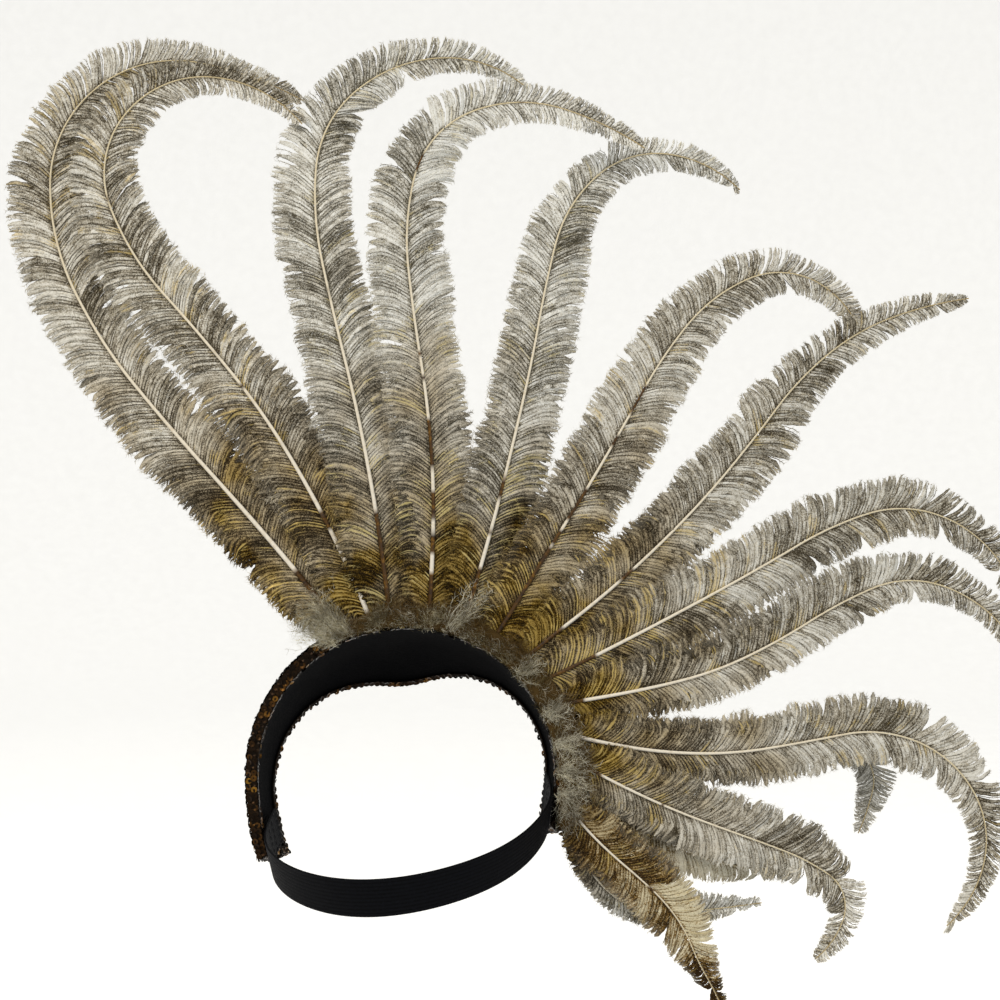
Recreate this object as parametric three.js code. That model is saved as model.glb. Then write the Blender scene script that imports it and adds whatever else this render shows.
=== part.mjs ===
import * as THREE from 'three';

// A showgirl's feather headdress: a foam half cap covered in sequin fabric, an elastic strap that
// closes it behind the head, and a fan of gold-tinted ostrich plumes along its back rim.
// Millimetres. +X is the wearer's right, +Y the way the wearer faces and +Z up.
// The origin is the middle of the head opening, at the level of the wearer's ears.

// Cap: part of a dome round the head, from the rim over the crown forward to the brow.
const domeRadius = 81; // inner face of the foam, seen from behind
const domeReach = 100; // inner face of the foam, forward to the brow
const domeHeight = 34; // height of the dome's middle above the origin
const sideFullness = 0.55; // how far the sides below the middle keep the full width
const foamWall = 3;
const coverWall = 1.5;
const clearance = 0.3; // between pieces that touch
const fabricLie = 0.5; // the fabric bridges the foam's low places
const foldGap = 0.7; // between the foam and the folded edges of the fabric
const capTilt = -6; // degrees, the cap is worn lower over the left ear
const capEnd = 114; // degrees from the top of the cap to each ear end
const earRake = 0.08; // the ear ends run lower towards the front, by this share
const coverOverhang = 1.5; // degrees that the fabric runs past the foam at the ears
const browAngle = 64; // degrees forward of the rim at the middle of the front edge
const earAngle = 21; // degrees forward of the rim at the ear ends
const capSteps = 34;
const capSpans = 7;
const foldWidth = 2.4; // fabric folded back onto the inner face at both edges
const rimFace = -3; // Y of the fabric's back face at the rim

// Elastic strap, from inside one ear end round the back of the head to the other.
const strapWidth = 19;
const strapWall = 1.5;
const strapBack = 93; // how far it runs behind the origin
const strapDip = 15; // how far it drops towards the nape
const strapTuck = 24; // length that lies inside each ear end
const strapRightAngle = 102; // where it leaves the cap, degrees from the top
const strapLeftAngle = -118;
const strapSag = 0.6; // the flat strap stands off the round foam by this much
const strapSteps = 26;
const nearby = 0.02; // share of an angle, for the foam's slope at the strap

// Felt strip that stands out from the rim and carries the quills.
const bandWall = 2;
const bandWidth = 13;
const bandFrom = -26; // degrees round the rim
const bandTo = 107;
const bandSteps = 24;

// Strip of down that hides the quills' ends.
const downWall = 5;
const downSteps = 44;
const downLockDepth = 1.6;
const downRound = 0.6; // where the rounding of its back starts, as a share of its wall
const downWidths = [
  // angle round the rim, inner and outer edge as shares of the dome's radius
  { angle: -31, inner: 1, outer: 1.09 },
  { angle: -10, inner: 0.99, outer: 1.15 },
  { angle: 35, inner: 0.985, outer: 1.16 },
  { angle: 65, inner: 0.975, outer: 1.19 },
  { angle: 90, inner: 0.99, outer: 1.21 },
  { angle: 108, inner: 1, outer: 1.12 },
];

// Plumes.
const longestPlume = 466;
const quillRadius = 1.5; // at the root
const tipRadius = 0.35;
const rootInset = 4.5; // the near row's quills start this far inside the cover's outer face
const vaneStart = 1.2; // vanes start this far past the felt strip
const widestVane = 24;
const vaneWall = 1;
const vaneToShaft = 0.8; // near the tip the vane stays thinner than the shaft by this share
const vaneSweep = 0.55; // barbs run forward by this share of their reach
const vaneCamber = 0.03; // barbs fall back by this share of their reach
const vaneTwist = 9; // degrees; each left vane lies behind the next plume's right vane
const rampLength = 36; // length over which the vane opens
const rampLead = 0.3; // share of that length by which the vane is open where it starts
const narrowFrom = 0.55; // shares of the plume's length between which the vane narrows
const narrowTo = 0.85;
const narrowLoss = 0.42; // share of the width that is lost there
const tipShare = 0.22; // share of the length over which the vane closes
const lockLength = 40;
const lockStep = 0.14; // share of the width that each lock steps back
const lockMiddle = 0.51; // stations of a lock, as shares of its length
const lockEnd = 0.93;
const seam = 0.05; // the vane meets the shaft this far outside it
const shaftSteps = 120;

// One row for each plume, from the wearer's left. Angles are in degrees, clockwise from up as
// seen from behind.
//   seat      place of the root on the rim
//   headings  direction of the shaft at the root and at each eighth of its length
//   length    as a share of the longest plume
//   left, right  reach of the vanes as shares of the widest
//   lean, tipLean  how far the root and the tip point forward (+) or back (-)
//   far       on the front of the felt strip instead of its back
const plumes = [
  {
    seat: -22, headings: [-37, -40, -42, -39, -26, 0, 50, 100, 118],
    length: 1, left: 1, right: 0.9, lean: 0, tipLean: 14,
  },
  {
    seat: -12, headings: [-20, -26, -31, -39, -42, -21, 40, 96, 140],
    length: 0.9, left: 0.92, right: 0.95, lean: 0, tipLean: 2,
  },
  {
    seat: -5.5, headings: [-6, -8, -11, -14, -12, 4, 50, 86, 128],
    length: 0.84, left: 1, right: 0.85, lean: 0, tipLean: 14,
  },
  {
    seat: 8.5, headings: [4, 2, -4, -9, -6, 14, 70, 108, 125],
    length: 0.815, left: 0.9, right: 0.92, lean: 0, tipLean: -10,
  },
  {
    seat: 21, headings: [16, 16, 14, 13, 10, 14, 48, 98, 134],
    length: 0.73, left: 0.8, right: 0.92, lean: 1, tipLean: 6,
  },
  {
    seat: 32, headings: [33, 31, 32, 30, 29, 39, 66, 120, 164],
    length: 0.69, left: 0.88, right: 0.92, lean: 0, tipLean: 6,
  },
  {
    seat: 44, headings: [50, 52, 48, 44, 39, 36, 50, 70, 82],
    length: 0.675, left: 0.85, right: 0.9, lean: 1, tipLean: -8,
  },
  {
    seat: 53, headings: [67, 63, 62, 61, 59, 72, 110, 142, 168],
    length: 0.69, left: 0.88, right: 0.85, lean: 0, tipLean: 8,
  },
  {
    seat: 62, headings: [82, 80, 76, 64, 57, 66, 108, 138, 156],
    length: 0.645, left: 0.88, right: 0.68, lean: 1, tipLean: -6,
  },
  {
    seat: 71.5, headings: [106, 100, 91, 80, 78, 112, 150, 194, 232],
    length: 0.675, left: 0.84, right: 0.8, lean: 0, tipLean: -12,
  },
  {
    seat: 74, headings: [99, 98, 95, 90, 86, 88, 122, 190, 200],
    length: 0.46, left: 0.58, right: 0.58, lean: 3, tipLean: 10, far: true,
  },
  {
    seat: 79, headings: [123, 118, 115, 111, 109, 110, 124, 200, 236],
    length: 0.455, left: 0.92, right: 0.84, lean: -1, tipLean: -12,
  },
  {
    seat: 88, headings: [130, 129, 128, 124, 118, 110, 102, 94, 86],
    length: 0.305, left: 0.62, right: 0.62, lean: 3, tipLean: 4, far: true,
  },
  {
    seat: 96, headings: [146, 140, 134, 130, 133, 144, 158, 150, 156],
    length: 0.31, left: 0.8, right: 0.76, lean: -1, tipLean: -8,
  },
  {
    seat: 104, headings: [168, 158, 148, 130, 107, 90, 86, 84, 84],
    length: 0.29, left: 0.66, right: 0.4, lean: 3, tipLean: 4, far: true,
  },
];

const deg = THREE.MathUtils.degToRad;
const { lerp, smoothstep } = THREE.MathUtils;
const up = new THREE.Vector3(0, 0, 1);
const back = new THREE.Vector3(0, -1, 0);
const coverInner = foamWall + fabricLie;
const coverOuter = coverInner + coverWall;
const bareQuill = rootInset + clearance + bandWidth + vaneStart;

// A closed body through rings of equal length, each an array of Vector3. outline gives one ring's
// points in a plane, from which the end faces are made.
function loft(rings, outline) {
  const count = rings[0].length;
  const position = rings.flat().flatMap((p) => [p.x, p.y, p.z]);
  const index = [];
  for (let r = 0; r < rings.length - 1; r++) {
    for (let i = 0; i < count; i++) {
      const a = r * count + i;
      const b = r * count + ((i + 1) % count);
      index.push(a, b, a + count, b, b + count, a + count);
    }
  }
  const last = (rings.length - 1) * count;
  for (const triangle of THREE.ShapeUtils.triangulateShape(outline, [])) {
    const [a, b, c] = THREE.ShapeUtils.isClockWise(outline) ? triangle.toReversed() : triangle;
    index.push(a, c, b, last + a, last + b, last + c);
  }
  if (volumeOf(position, index) < 0) {
    index.reverse();
  }
  const geometry = new THREE.BufferGeometry();
  geometry.setAttribute('position', new THREE.Float32BufferAttribute(position, 3));
  geometry.setIndex(index);
  geometry.computeVertexNormals();
  return geometry;
}

function volumeOf(position, index) {
  const corner = (i) => new THREE.Vector3().fromArray(position, 3 * i);
  let sum = 0;
  for (let i = 0; i < index.length; i += 3) {
    sum += corner(index[i]).dot(corner(index[i + 1]).cross(corner(index[i + 2])));
  }
  return sum;
}

function named(name, geometry, material) {
  const mesh = new THREE.Mesh(geometry, material);
  mesh.name = name;
  return mesh;
}

// A point of a ring round the head: angle is measured from the top round to the wearer's right.
function ringPoint(angle, radius, y) {
  const side = Math.abs(Math.sin(angle));
  const full = Math.cos(angle) < 0 ? lerp(side, 1, sideFullness) : side;
  return new THREE.Vector3(
    Math.sign(angle) * radius * full,
    y,
    domeHeight + radius * Math.cos(angle),
  );
}

// A point of the dome: forward is the angle from the rim towards the brow, and offset is
// measured outward from the foam's inner face.
function domePoint(angle, forward, offset) {
  const radius = (domeRadius + offset) * Math.cos(forward);
  return ringPoint(angle, radius, (domeReach + offset) * Math.sin(forward));
}

// The forward angle at which the dome at this offset has the depth y.
function forwardAt(y, offset) {
  return Math.asin(y / (domeReach + offset));
}

// The front edge of the cap, as a forward angle: deep over the brow, short at the ears.
function frontEdge(angleFromMiddle) {
  const middle = Math.max(Math.cos(angleFromMiddle), 0) ** 1.6;
  return deg(lerp(earAngle, browAngle, middle));
}

// The profiles of foam and fabric run from the rim forward. A profile point holds its depth as a
// share of the way from the rim to the front edge, how far it stands in from that edge, and its
// offset from the foam's inner face.
function capSection(angleFromMiddle, profile) {
  return profile.map(({ share, inset, offset }) => {
    const angle = deg(capTilt) + angleFromMiddle * (1 + earRake * share);
    const front = frontEdge(angleFromMiddle) - inset / (domeReach + offset);
    const rim = forwardAt(rimFace + inset, offset);
    return domePoint(angle, lerp(rim, front, share), offset);
  });
}

function cap(profile, halfAngle) {
  const rings = [];
  for (let i = 0; i <= capSteps; i++) {
    rings.push(capSection(deg(lerp(-halfAngle, halfAngle, i / capSteps)), profile));
  }
  const outline = profile.map(({ share, inset, offset }) => {
    const along = share * domeReach + (share < 0.5 ? inset : -inset);
    return new THREE.Vector2(along, offset);
  });
  return loft(rings, outline);
}

function foamProfile() {
  const inset = coverWall + clearance;
  const shares = Array.from({ length: capSpans + 1 }, (_, i) => i / capSpans);
  return [
    ...shares.map((share) => ({ share, inset, offset: 0 })),
    ...shares.toReversed().map((share) => ({ share, inset, offset: foamWall })),
  ];
}

// The fabric lies on the foam's outer face and is folded round both edges onto the inner face.
function coverProfile() {
  const shares = Array.from({ length: capSpans + 1 }, (_, i) => i / capSpans);
  const hem = coverWall + clearance + foldWidth;
  const under = -foldGap - coverWall;
  return [
    { share: 0, inset: hem, offset: -foldGap },
    { share: 0, inset: coverWall, offset: -foldGap },
    ...shares.map((share) => ({ share, inset: coverWall, offset: coverInner })),
    { share: 1, inset: coverWall, offset: -foldGap },
    { share: 1, inset: hem, offset: -foldGap },
    { share: 1, inset: hem, offset: under },
    { share: 1, inset: 0, offset: under },
    ...shares.toReversed().map((share) => ({ share, inset: 0, offset: coverOuter })),
    { share: 0, inset: 0, offset: under },
    { share: 0, inset: hem, offset: under },
  ];
}

// Centre line of the strap at share t from its right end to its left, with the directions out
// of its face and across its width. Behind the head it is half an ellipse, and inside the ear
// ends it lies on the foam.
function strapFrame(t) {
  const tuck = strapTuck / (2 * strapTuck + Math.PI * strapBack);
  const turn = THREE.MathUtils.clamp((t - tuck) / (1 - 2 * tuck), 0, 1) * Math.PI;
  const tucked = (strapTuck * Math.max(tuck - t, t - 1 + tuck, 0)) / tuck;
  const right = strapSeat(strapRightAngle, t < 0.5 ? tucked : 0);
  const left = strapSeat(strapLeftAngle, t > 0.5 ? tucked : 0);
  const centre = left.lerp(right, (1 + Math.cos(turn)) / 2);
  centre.y -= strapBack * Math.sin(turn);
  centre.z -= strapDip * Math.sin(turn);
  const outward = new THREE.Vector3(Math.cos(turn), -Math.sin(turn), 0);
  const angle = deg(turn < Math.PI / 2 ? strapRightAngle : strapLeftAngle);
  const wallUp = ringPoint(angle * (1 - nearby), domeRadius, 0)
    .sub(ringPoint(angle * (1 + nearby), domeRadius, 0))
    .normalize();
  const across = up.clone().lerp(wallUp, Math.abs(Math.cos(turn))).normalize();
  return { centre, outward, across };
}

// Where the strap lies on the foam, y forward of the place where it leaves the cap.
function strapSeat(angleInDegrees, y) {
  const gap = coverWall + foldGap + clearance + strapSag + strapWall / 2;
  const rise = Math.sign(-angleInDegrees) * (strapDip / strapBack) * (y / domeRadius);
  return domePoint(deg(angleInDegrees) + rise, forwardAt(y, -gap), -gap);
}

function strap() {
  const corners = [[-1, -1], [-1, 1], [1, 1], [1, -1]];
  const rings = [];
  for (let i = 0; i <= strapSteps; i++) {
    const { centre, outward, across } = strapFrame(i / strapSteps);
    rings.push(corners.map(([through, along]) => centre.clone()
      .addScaledVector(outward, (through * strapWall) / 2)
      .addScaledVector(across, (along * strapWidth) / 2)));
  }
  return loft(rings, corners.map(([x, y]) => new THREE.Vector2(x, y)));
}

function quillBand() {
  const inner = domeRadius + coverOuter + clearance;
  const corners = [
    [inner, rimFace],
    [inner + bandWidth, rimFace],
    [inner + bandWidth, rimFace + bandWall],
    [inner, rimFace + bandWall],
  ];
  const rings = [];
  for (let i = 0; i <= bandSteps; i++) {
    const angle = deg(lerp(bandFrom, bandTo, i / bandSteps));
    rings.push(corners.map(([radius, y]) => ringPoint(angle, radius, y)));
  }
  return loft(rings, corners.map(([x, y]) => new THREE.Vector2(x, y)));
}

// Reads a table of rows sorted by angle, between rows by straight lines.
function tableAt(rows, angle, column) {
  const next = Math.max(1, rows.findIndex((row) => row.angle >= angle));
  const [a, b] = [rows[next - 1], rows[next]];
  return lerp(a[column], b[column], (angle - a.angle) / (b.angle - a.angle));
}

function downStrip() {
  const front = rimFace - 2 * clearance - 2 * quillRadius;
  const first = downWidths[0].angle;
  const last = downWidths.at(-1).angle;
  const rings = [];
  for (let i = 0; i <= downSteps; i++) {
    const angle = lerp(first, last, i / downSteps);
    const lock = i % 2 ? downLockDepth : 0;
    const inner = domeRadius * tableAt(downWidths, angle, 'inner') + lock / 2;
    const outer = domeRadius * tableAt(downWidths, angle, 'outer') - lock;
    const rear = front - downWall + lock;
    const edge = lerp(front, rear, downRound);
    const corners = [
      [inner, front],
      [inner, edge],
      [lerp(inner, outer, 0.25), rear],
      [lerp(inner, outer, 0.75), rear],
      [outer, edge],
      [outer, front],
    ];
    rings.push(corners.map(([radius, y]) => ringPoint(deg(angle), radius, y)));
  }
  const hexagon = [[0, 0], [0, -3], [3, -5], [9, -5], [12, -3], [12, 0]];
  return loft(rings, hexagon.map(([x, y]) => new THREE.Vector2(x, y)));
}

// The direction of a plume at a share of its length, in the fan's plane and out of it.
function plumeHeading(plume, share) {
  const along = share * (plume.headings.length - 1);
  const i = Math.min(Math.floor(along), plume.headings.length - 2);
  const heading = deg(lerp(plume.headings[i], plume.headings[i + 1], along - i));
  const lean = deg(plume.lean + plume.tipLean * share ** 2);
  return new THREE.Vector3(
    Math.sin(heading) * Math.cos(lean),
    Math.sin(lean),
    Math.cos(heading) * Math.cos(lean),
  );
}

// Points along the shaft, at even steps of its length. The near row starts on the cap's rim,
// the far row on the front of the felt strip.
function plumeLine(plume) {
  const rim = domeRadius + coverOuter;
  const lie = clearance + quillRadius;
  const points = [
    plume.far
      ? ringPoint(deg(plume.seat), rim + lie, rimFace + bandWall + lie)
      : ringPoint(deg(plume.seat), rim - rootInset, rimFace - lie),
  ];
  const step = (plume.length * longestPlume) / shaftSteps;
  for (let i = 0; i < shaftSteps; i++) {
    const heading = plumeHeading(plume, (i + 0.5) / shaftSteps);
    points.push(points.at(-1).clone().addScaledVector(heading, step));
  }
  return points;
}

// Share of the full reach of a vane: it opens past the bare quill and narrows to the tip.
function vaneShape(plume, share) {
  const along = share * plume.length * longestPlume - bareQuill;
  const opened = smoothstep(along, -rampLead * rampLength, rampLength);
  const narrowed = 1 - narrowLoss * smoothstep(share, narrowFrom, narrowTo);
  const closed = Math.sqrt(THREE.MathUtils.clamp((1 - share) / tipShare, 0, 1));
  return opened * narrowed * closed;
}

// Each lock has three stations, and its end stands proud of the next one's start.
function plumeStations(plume) {
  const length = plume.length * longestPlume;
  const locks = Math.round((length - bareQuill) / lockLength);
  const first = bareQuill / length;
  const stations = [{ share: 0, bare: true }, { share: first - seam / length, bare: true }];
  for (let k = 0; k < locks; k++) {
    const at = (part) => lerp(first, 1, (k + part) / locks);
    stations.push({ share: at(0), step: k ? lockStep : 0 });
    stations.push({ share: at(lockMiddle), step: lockStep / 2 });
    stations.push({ share: at(lockEnd), step: 0 });
  }
  return [...stations, { share: 1, bare: true }];
}

// The section of a plume is a flat vane to each side of a ridge on both faces, the shaft.
function plumeSection(plume, line, { share, bare, step }) {
  const along = share * shaftSteps;
  const i = Math.min(Math.floor(along), shaftSteps - 1);
  const centre = line[i].clone().lerp(line[i + 1], along - i);
  const ahead = plumeHeading(plume, share);
  const twist = deg(vaneTwist) * smoothstep(along / shaftSteps, 0, rampLength / longestPlume);
  const face = back.clone().addScaledVector(ahead, ahead.y).normalize();
  face.applyAxisAngle(ahead, twist);
  const side = new THREE.Vector3().crossVectors(ahead, face);
  const shaft = lerp(quillRadius, tipRadius, share);
  const half = Math.min(vaneWall / 2, vaneToShaft * shaft);
  const vane = bare ? 0 : seam + widestVane * vaneShape(plume, share) * (1 - step);
  const left = -shaft - seam - vane * plume.left;
  const right = shaft + seam + vane * plume.right;
  return [
    [left, half], [-shaft, half], [0, shaft], [shaft, half], [right, half],
    [right, -half], [shaft, -half], [0, -shaft], [-shaft, -half], [left, -half],
  ].map(([across, off]) => {
    const out = Math.max(Math.abs(across) - shaft - seam, 0);
    return centre.clone()
      .addScaledVector(side, across)
      .addScaledVector(face, off - vaneCamber * out)
      .addScaledVector(ahead, vaneSweep * out);
  });
}

function plumeBody(plume) {
  const line = plumeLine(plume);
  const rings = plumeStations(plume).map((station) => plumeSection(plume, line, station));
  const outline = [
    [-4, 1], [-2, 1], [0, 2], [2, 1], [4, 1], [4, -1], [2, -1], [0, -2], [-2, -1], [-4, -1],
  ].map(([x, y]) => new THREE.Vector2(x, y));
  return loft(rings, outline);
}

const foam = new THREE.MeshStandardMaterial({ color: 0x0b0b0d, roughness: 0.95 });
const sequinFabric = new THREE.MeshStandardMaterial({
  color: 0x6a4d1c, roughness: 0.35, metalness: 0.8,
});
const elastic = new THREE.MeshStandardMaterial({ color: 0x0d0e14, roughness: 0.8 });
const felt = new THREE.MeshStandardMaterial({ color: 0x141210, roughness: 1 });
const down = new THREE.MeshStandardMaterial({ color: 0x8c8778, roughness: 1 });
const feather = new THREE.MeshStandardMaterial({
  color: 0x7d6a42, roughness: 0.55, metalness: 0.3,
});

const headdress = new THREE.Group();
headdress.add(
  named('foam_cap', cap(foamProfile(), capEnd), foam),
  named('sequin_cover', cap(coverProfile(), capEnd + coverOverhang), sequinFabric),
  named('elastic_strap', strap(), elastic),
  named('quill_band', quillBand(), felt),
  named('down_trim', downStrip(), down),
);
plumes.forEach((plume, i) => {
  headdress.add(named(`plume_${String(i + 1).padStart(2, '0')}`, plumeBody(plume), feather));
});

export default headdress;
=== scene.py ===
import math
from functools import partial

import bpy
import numpy as np
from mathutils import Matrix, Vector


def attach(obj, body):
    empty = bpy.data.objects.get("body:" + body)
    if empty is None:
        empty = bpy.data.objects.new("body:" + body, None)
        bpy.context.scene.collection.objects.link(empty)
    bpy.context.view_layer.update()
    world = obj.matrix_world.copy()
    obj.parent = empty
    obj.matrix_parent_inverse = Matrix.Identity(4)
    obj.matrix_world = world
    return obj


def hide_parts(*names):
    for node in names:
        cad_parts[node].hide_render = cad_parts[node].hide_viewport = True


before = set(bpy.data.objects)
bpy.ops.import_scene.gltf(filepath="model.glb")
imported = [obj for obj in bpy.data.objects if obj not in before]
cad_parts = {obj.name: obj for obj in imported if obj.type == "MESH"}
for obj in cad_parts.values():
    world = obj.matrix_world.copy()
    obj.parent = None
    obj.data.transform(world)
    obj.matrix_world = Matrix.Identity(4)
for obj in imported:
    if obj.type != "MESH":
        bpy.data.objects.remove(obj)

# Metres. +X is the wearer's right, +Y the way the wearer faces and +Z up.
# Angles round the rim are clockwise from up, as seen from behind.

scene = bpy.context.scene
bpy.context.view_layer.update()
print("frame loaded:", len(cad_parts), "nodes")


# the camera looks at the back of the headdress, as the photo does
camera = dict(
    target=(0.050, 0.0, 0.182),
    distance=1.15,
    elevation=4,  # degrees above level
    lens=78.1,
    sensor=36,  # as the lens, in millimetres
    nearest=0.02,
)


def placeCamera():
    lift = math.radians(camera["elevation"])
    data = bpy.data.cameras.new("backView")
    data.lens = camera["lens"]
    data.sensor_width = camera["sensor"]
    data.clip_start = camera["nearest"]
    eye = bpy.data.objects.new("backView", data)
    target = Vector(camera["target"])
    eye.location = target + camera["distance"] * Vector((0, -math.cos(lift), math.sin(lift)))
    eye.rotation_euler = (target - eye.location).to_track_quat("-Z", "Y").to_euler()
    scene.collection.objects.link(eye)
    scene.camera = eye


placeCamera()


def unit(vectors):
    return vectors / np.linalg.norm(vectors, axis=-1, keepdims=True)


def smooth(value, start, end):  # 0 before start, 1 after end, soft between
    t = np.clip((value - start) / (end - start), 0, 1)
    return t * t * (3 - 2 * t)


def mixed(a, b, share):
    return a + (b - a) * share


def linear(hexColour):  # a colour as a paint chart gives it, for the shader
    parts = [int(hexColour[i:i + 2], 16) / 255 for i in (0, 2, 4)]
    return tuple(p / 12.92 if p < 0.04045 else ((p + 0.055) / 1.055) ** 2.4 for p in parts) + (1,)


def meshPiece(name, points, faceSets, material, colours=None, uvs=None, rounded=False):
    # faceSets are arrays of triangles or quads; colours and uvs have a row for each point
    loops = np.concatenate([faces.ravel() for faces in faceSets]).astype(np.int32)
    sizes = np.concatenate([np.full(len(faces), faces.shape[1]) for faces in faceSets])
    starts = np.concatenate([[0], np.cumsum(sizes)[:-1]]).astype(np.int32)
    mesh = bpy.data.meshes.new(name)
    mesh.vertices.add(len(points))
    mesh.vertices.foreach_set("co", np.ascontiguousarray(points, np.float32).ravel())
    mesh.loops.add(len(loops))
    mesh.loops.foreach_set("vertex_index", loops)
    mesh.polygons.add(len(sizes))
    mesh.polygons.foreach_set("loop_start", starts)
    mesh.update(calc_edges=True)
    if rounded:
        mesh.polygons.foreach_set("use_smooth", np.ones(len(sizes), bool))
    if colours is not None:
        layer = mesh.color_attributes.new("place", "FLOAT_COLOR", "POINT")
        layer.data.foreach_set("color", np.ascontiguousarray(colours, np.float32).ravel())
    if uvs is not None:
        layer = mesh.uv_layers.new(name="OFBake")
        layer.data.foreach_set("uv", np.ascontiguousarray(uvs[loops], np.float32).ravel())
    mesh.materials.append(material)
    piece = bpy.data.objects.new(name, mesh)
    scene.collection.objects.link(piece)
    return piece


def gridFaces(rows, columns, closed=False, first=0):  # quads over a grid of points
    r, c = np.meshgrid(np.arange(rows - 1), np.arange(columns if closed else columns - 1),
                       indexing="ij")
    a = first + r * columns + c
    b = first + r * columns + (c + 1) % columns
    return np.stack([a, b, b + columns, a + columns], axis=-1).reshape(-1, 4)


def bandFaces(rows, columns):  # a flat band: the loop along it and a row of quads at each end
    k = np.arange(columns // 2 - 1)
    end = np.stack([k, k + 1, columns - 2 - k, columns - 1 - k], axis=-1)
    return [gridFaces(rows, columns, closed=True), end[:, ::-1], end + (rows - 1) * columns]


def addNode(tree, kind, inputs=None, **settings):
    made = tree.nodes.new("ShaderNode" + kind)
    for name, value in settings.items():
        setattr(made, name, value)
    for name, value in (inputs or {}).items():
        if isinstance(value, bpy.types.NodeSocket):
            tree.links.new(value, made.inputs[name])
        else:
            made.inputs[name].default_value = value
    return made


def colourRamp(tree, factor, stops):
    made = addNode(tree, "ValToRGB", {"Fac": factor})
    elements = made.color_ramp.elements
    for _ in range(len(stops) - 2):
        elements.new(0.5)
    for element, (place, colour) in zip(elements, stops):
        element.position = place
        element.color = linear(colour)
    return made.outputs["Color"]


def mixColours(tree, factor, a, b):
    made = addNode(tree, "Mix", data_type="RGBA")
    for socket, value in ((made.inputs[0], factor), (made.inputs[6], a), (made.inputs[7], b)):
        if isinstance(value, bpy.types.NodeSocket):
            tree.links.new(value, socket)
        else:
            socket.default_value = value
    return made.outputs[2]


def rescale(tree, value, low, high, toLow=0.0, toHigh=1.0):
    made = addNode(tree, "MapRange", {"Value": value, "From Min": low, "From Max": high,
                                      "To Min": toLow, "To Max": toHigh})
    return made.outputs["Result"]


def noiseAt(tree, scale, detail=3):
    place = addNode(tree, "TexCoord").outputs["Object"]
    made = addNode(tree, "TexNoise", {"Vector": place, "Scale": scale, "Detail": detail})
    return made.outputs["Fac"]


def newMaterial(name, settings):
    material = bpy.data.materials.new(name)
    material.use_nodes = True
    shader = material.node_tree.nodes["Principled BSDF"]
    for socket, value in settings.items():
        shader.inputs[socket].default_value = value
    return material, material.node_tree, shader.inputs


def combined(tree, a, b, operation="ADD"):
    return addNode(tree, "Math", {0: a, 1: b}, operation=operation).outputs["Value"]


def placeChannels(tree):  # the four values that each point carries for its material
    attribute = addNode(tree, "Attribute", attribute_name="place")
    split = addNode(tree, "SeparateColor", {"Color": attribute.outputs["Color"]})
    return [split.outputs[name] for name in ("Red", "Green", "Blue")] + [attribute.outputs["Alpha"]]


def raised(tree, sockets, height, depth, strength):  # bump from a height of 0 to 1
    made = addNode(tree, "Bump", {"Height": height, "Distance": depth, "Strength": strength})
    tree.links.new(made.outputs["Normal"], sockets["Normal"])


# white paper studio: a round floor that sweeps up to a wall on all sides
studio = dict(
    floor=-0.36,
    radius=2.6,
    bend=1.1,
    wall=2.6,  # height above the bend
    paper="f3f1ec",
    glow=0.5,
    around=96,
    floorRings=(0.0, 0.8, 1.7),
    bendRings=14,
    sky="e9ecef",
    skyStrength=0.55,
)
lights = [
    dict(name="keyLight", place=(-0.9, -1.5, 1.5), size=1.0, power=26, colour="fff7ec"),
    dict(name="fillLight", place=(1.5, -1.3, 0.5), size=1.2, power=9, colour="f4f8ff"),
    dict(name="topLight", place=(0.1, 0.5, 1.9), size=1.4, power=16, colour="ffffff"),
]


def paperMaterial():
    material, tree, sockets = newMaterial("paper", {"Roughness": 0.9})
    grain = noiseAt(tree, 60)
    shade = colourRamp(tree, grain, [(0.3, "efede8"), (0.7, studio["paper"])])
    tree.links.new(shade, sockets["Base Color"])
    tree.links.new(shade, sockets["Emission Color"])
    sockets["Emission Strength"].default_value = studio["glow"]
    return material


def buildStudio():
    bendAngles = np.linspace(0, math.pi / 2, studio["bendRings"])
    radii = list(studio["floorRings"])
    heights = [0.0] * len(radii) + list(studio["bend"] * (1 - np.cos(bendAngles)))
    radii += list(studio["radius"] + studio["bend"] * np.sin(bendAngles))
    radii.append(radii[-1])
    heights.append(heights[-1] + studio["wall"])
    turn = np.linspace(0, 2 * math.pi, studio["around"], endpoint=False)
    r, t = np.meshgrid(radii, turn, indexing="ij")
    z = np.broadcast_to(np.array(heights)[:, None], r.shape) + studio["floor"]
    points = np.stack([r * np.cos(t), r * np.sin(t), z], axis=-1).reshape(-1, 3)
    faces = gridFaces(len(radii), studio["around"], closed=True)
    sweep = meshPiece("paper_sweep", points, [faces], paperMaterial(), rounded=True)
    sweep.visible_diffuse = False  # the sky lights the piece, and the paper only backs it
    world = bpy.data.worlds.new("studioWorld")
    world.use_nodes = True
    background = world.node_tree.nodes["Background"]
    background.inputs["Color"].default_value = linear(studio["sky"])
    background.inputs["Strength"].default_value = studio["skyStrength"]
    scene.world = world
    for light in lights:
        data = bpy.data.lights.new(light["name"], "AREA")
        data.shape = "DISK"
        data.size = light["size"]
        data.energy = light["power"]
        data.color = linear(light["colour"])[:3]
        lamp = bpy.data.objects.new(light["name"], data)
        lamp.location = light["place"]
        aim = Vector(camera["target"]) - lamp.location
        lamp.rotation_euler = aim.to_track_quat("-Z", "Y").to_euler()
        scene.collection.objects.link(lamp)
    scene.view_settings.view_transform = "Standard"


buildStudio()
print("studio ready")


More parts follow.
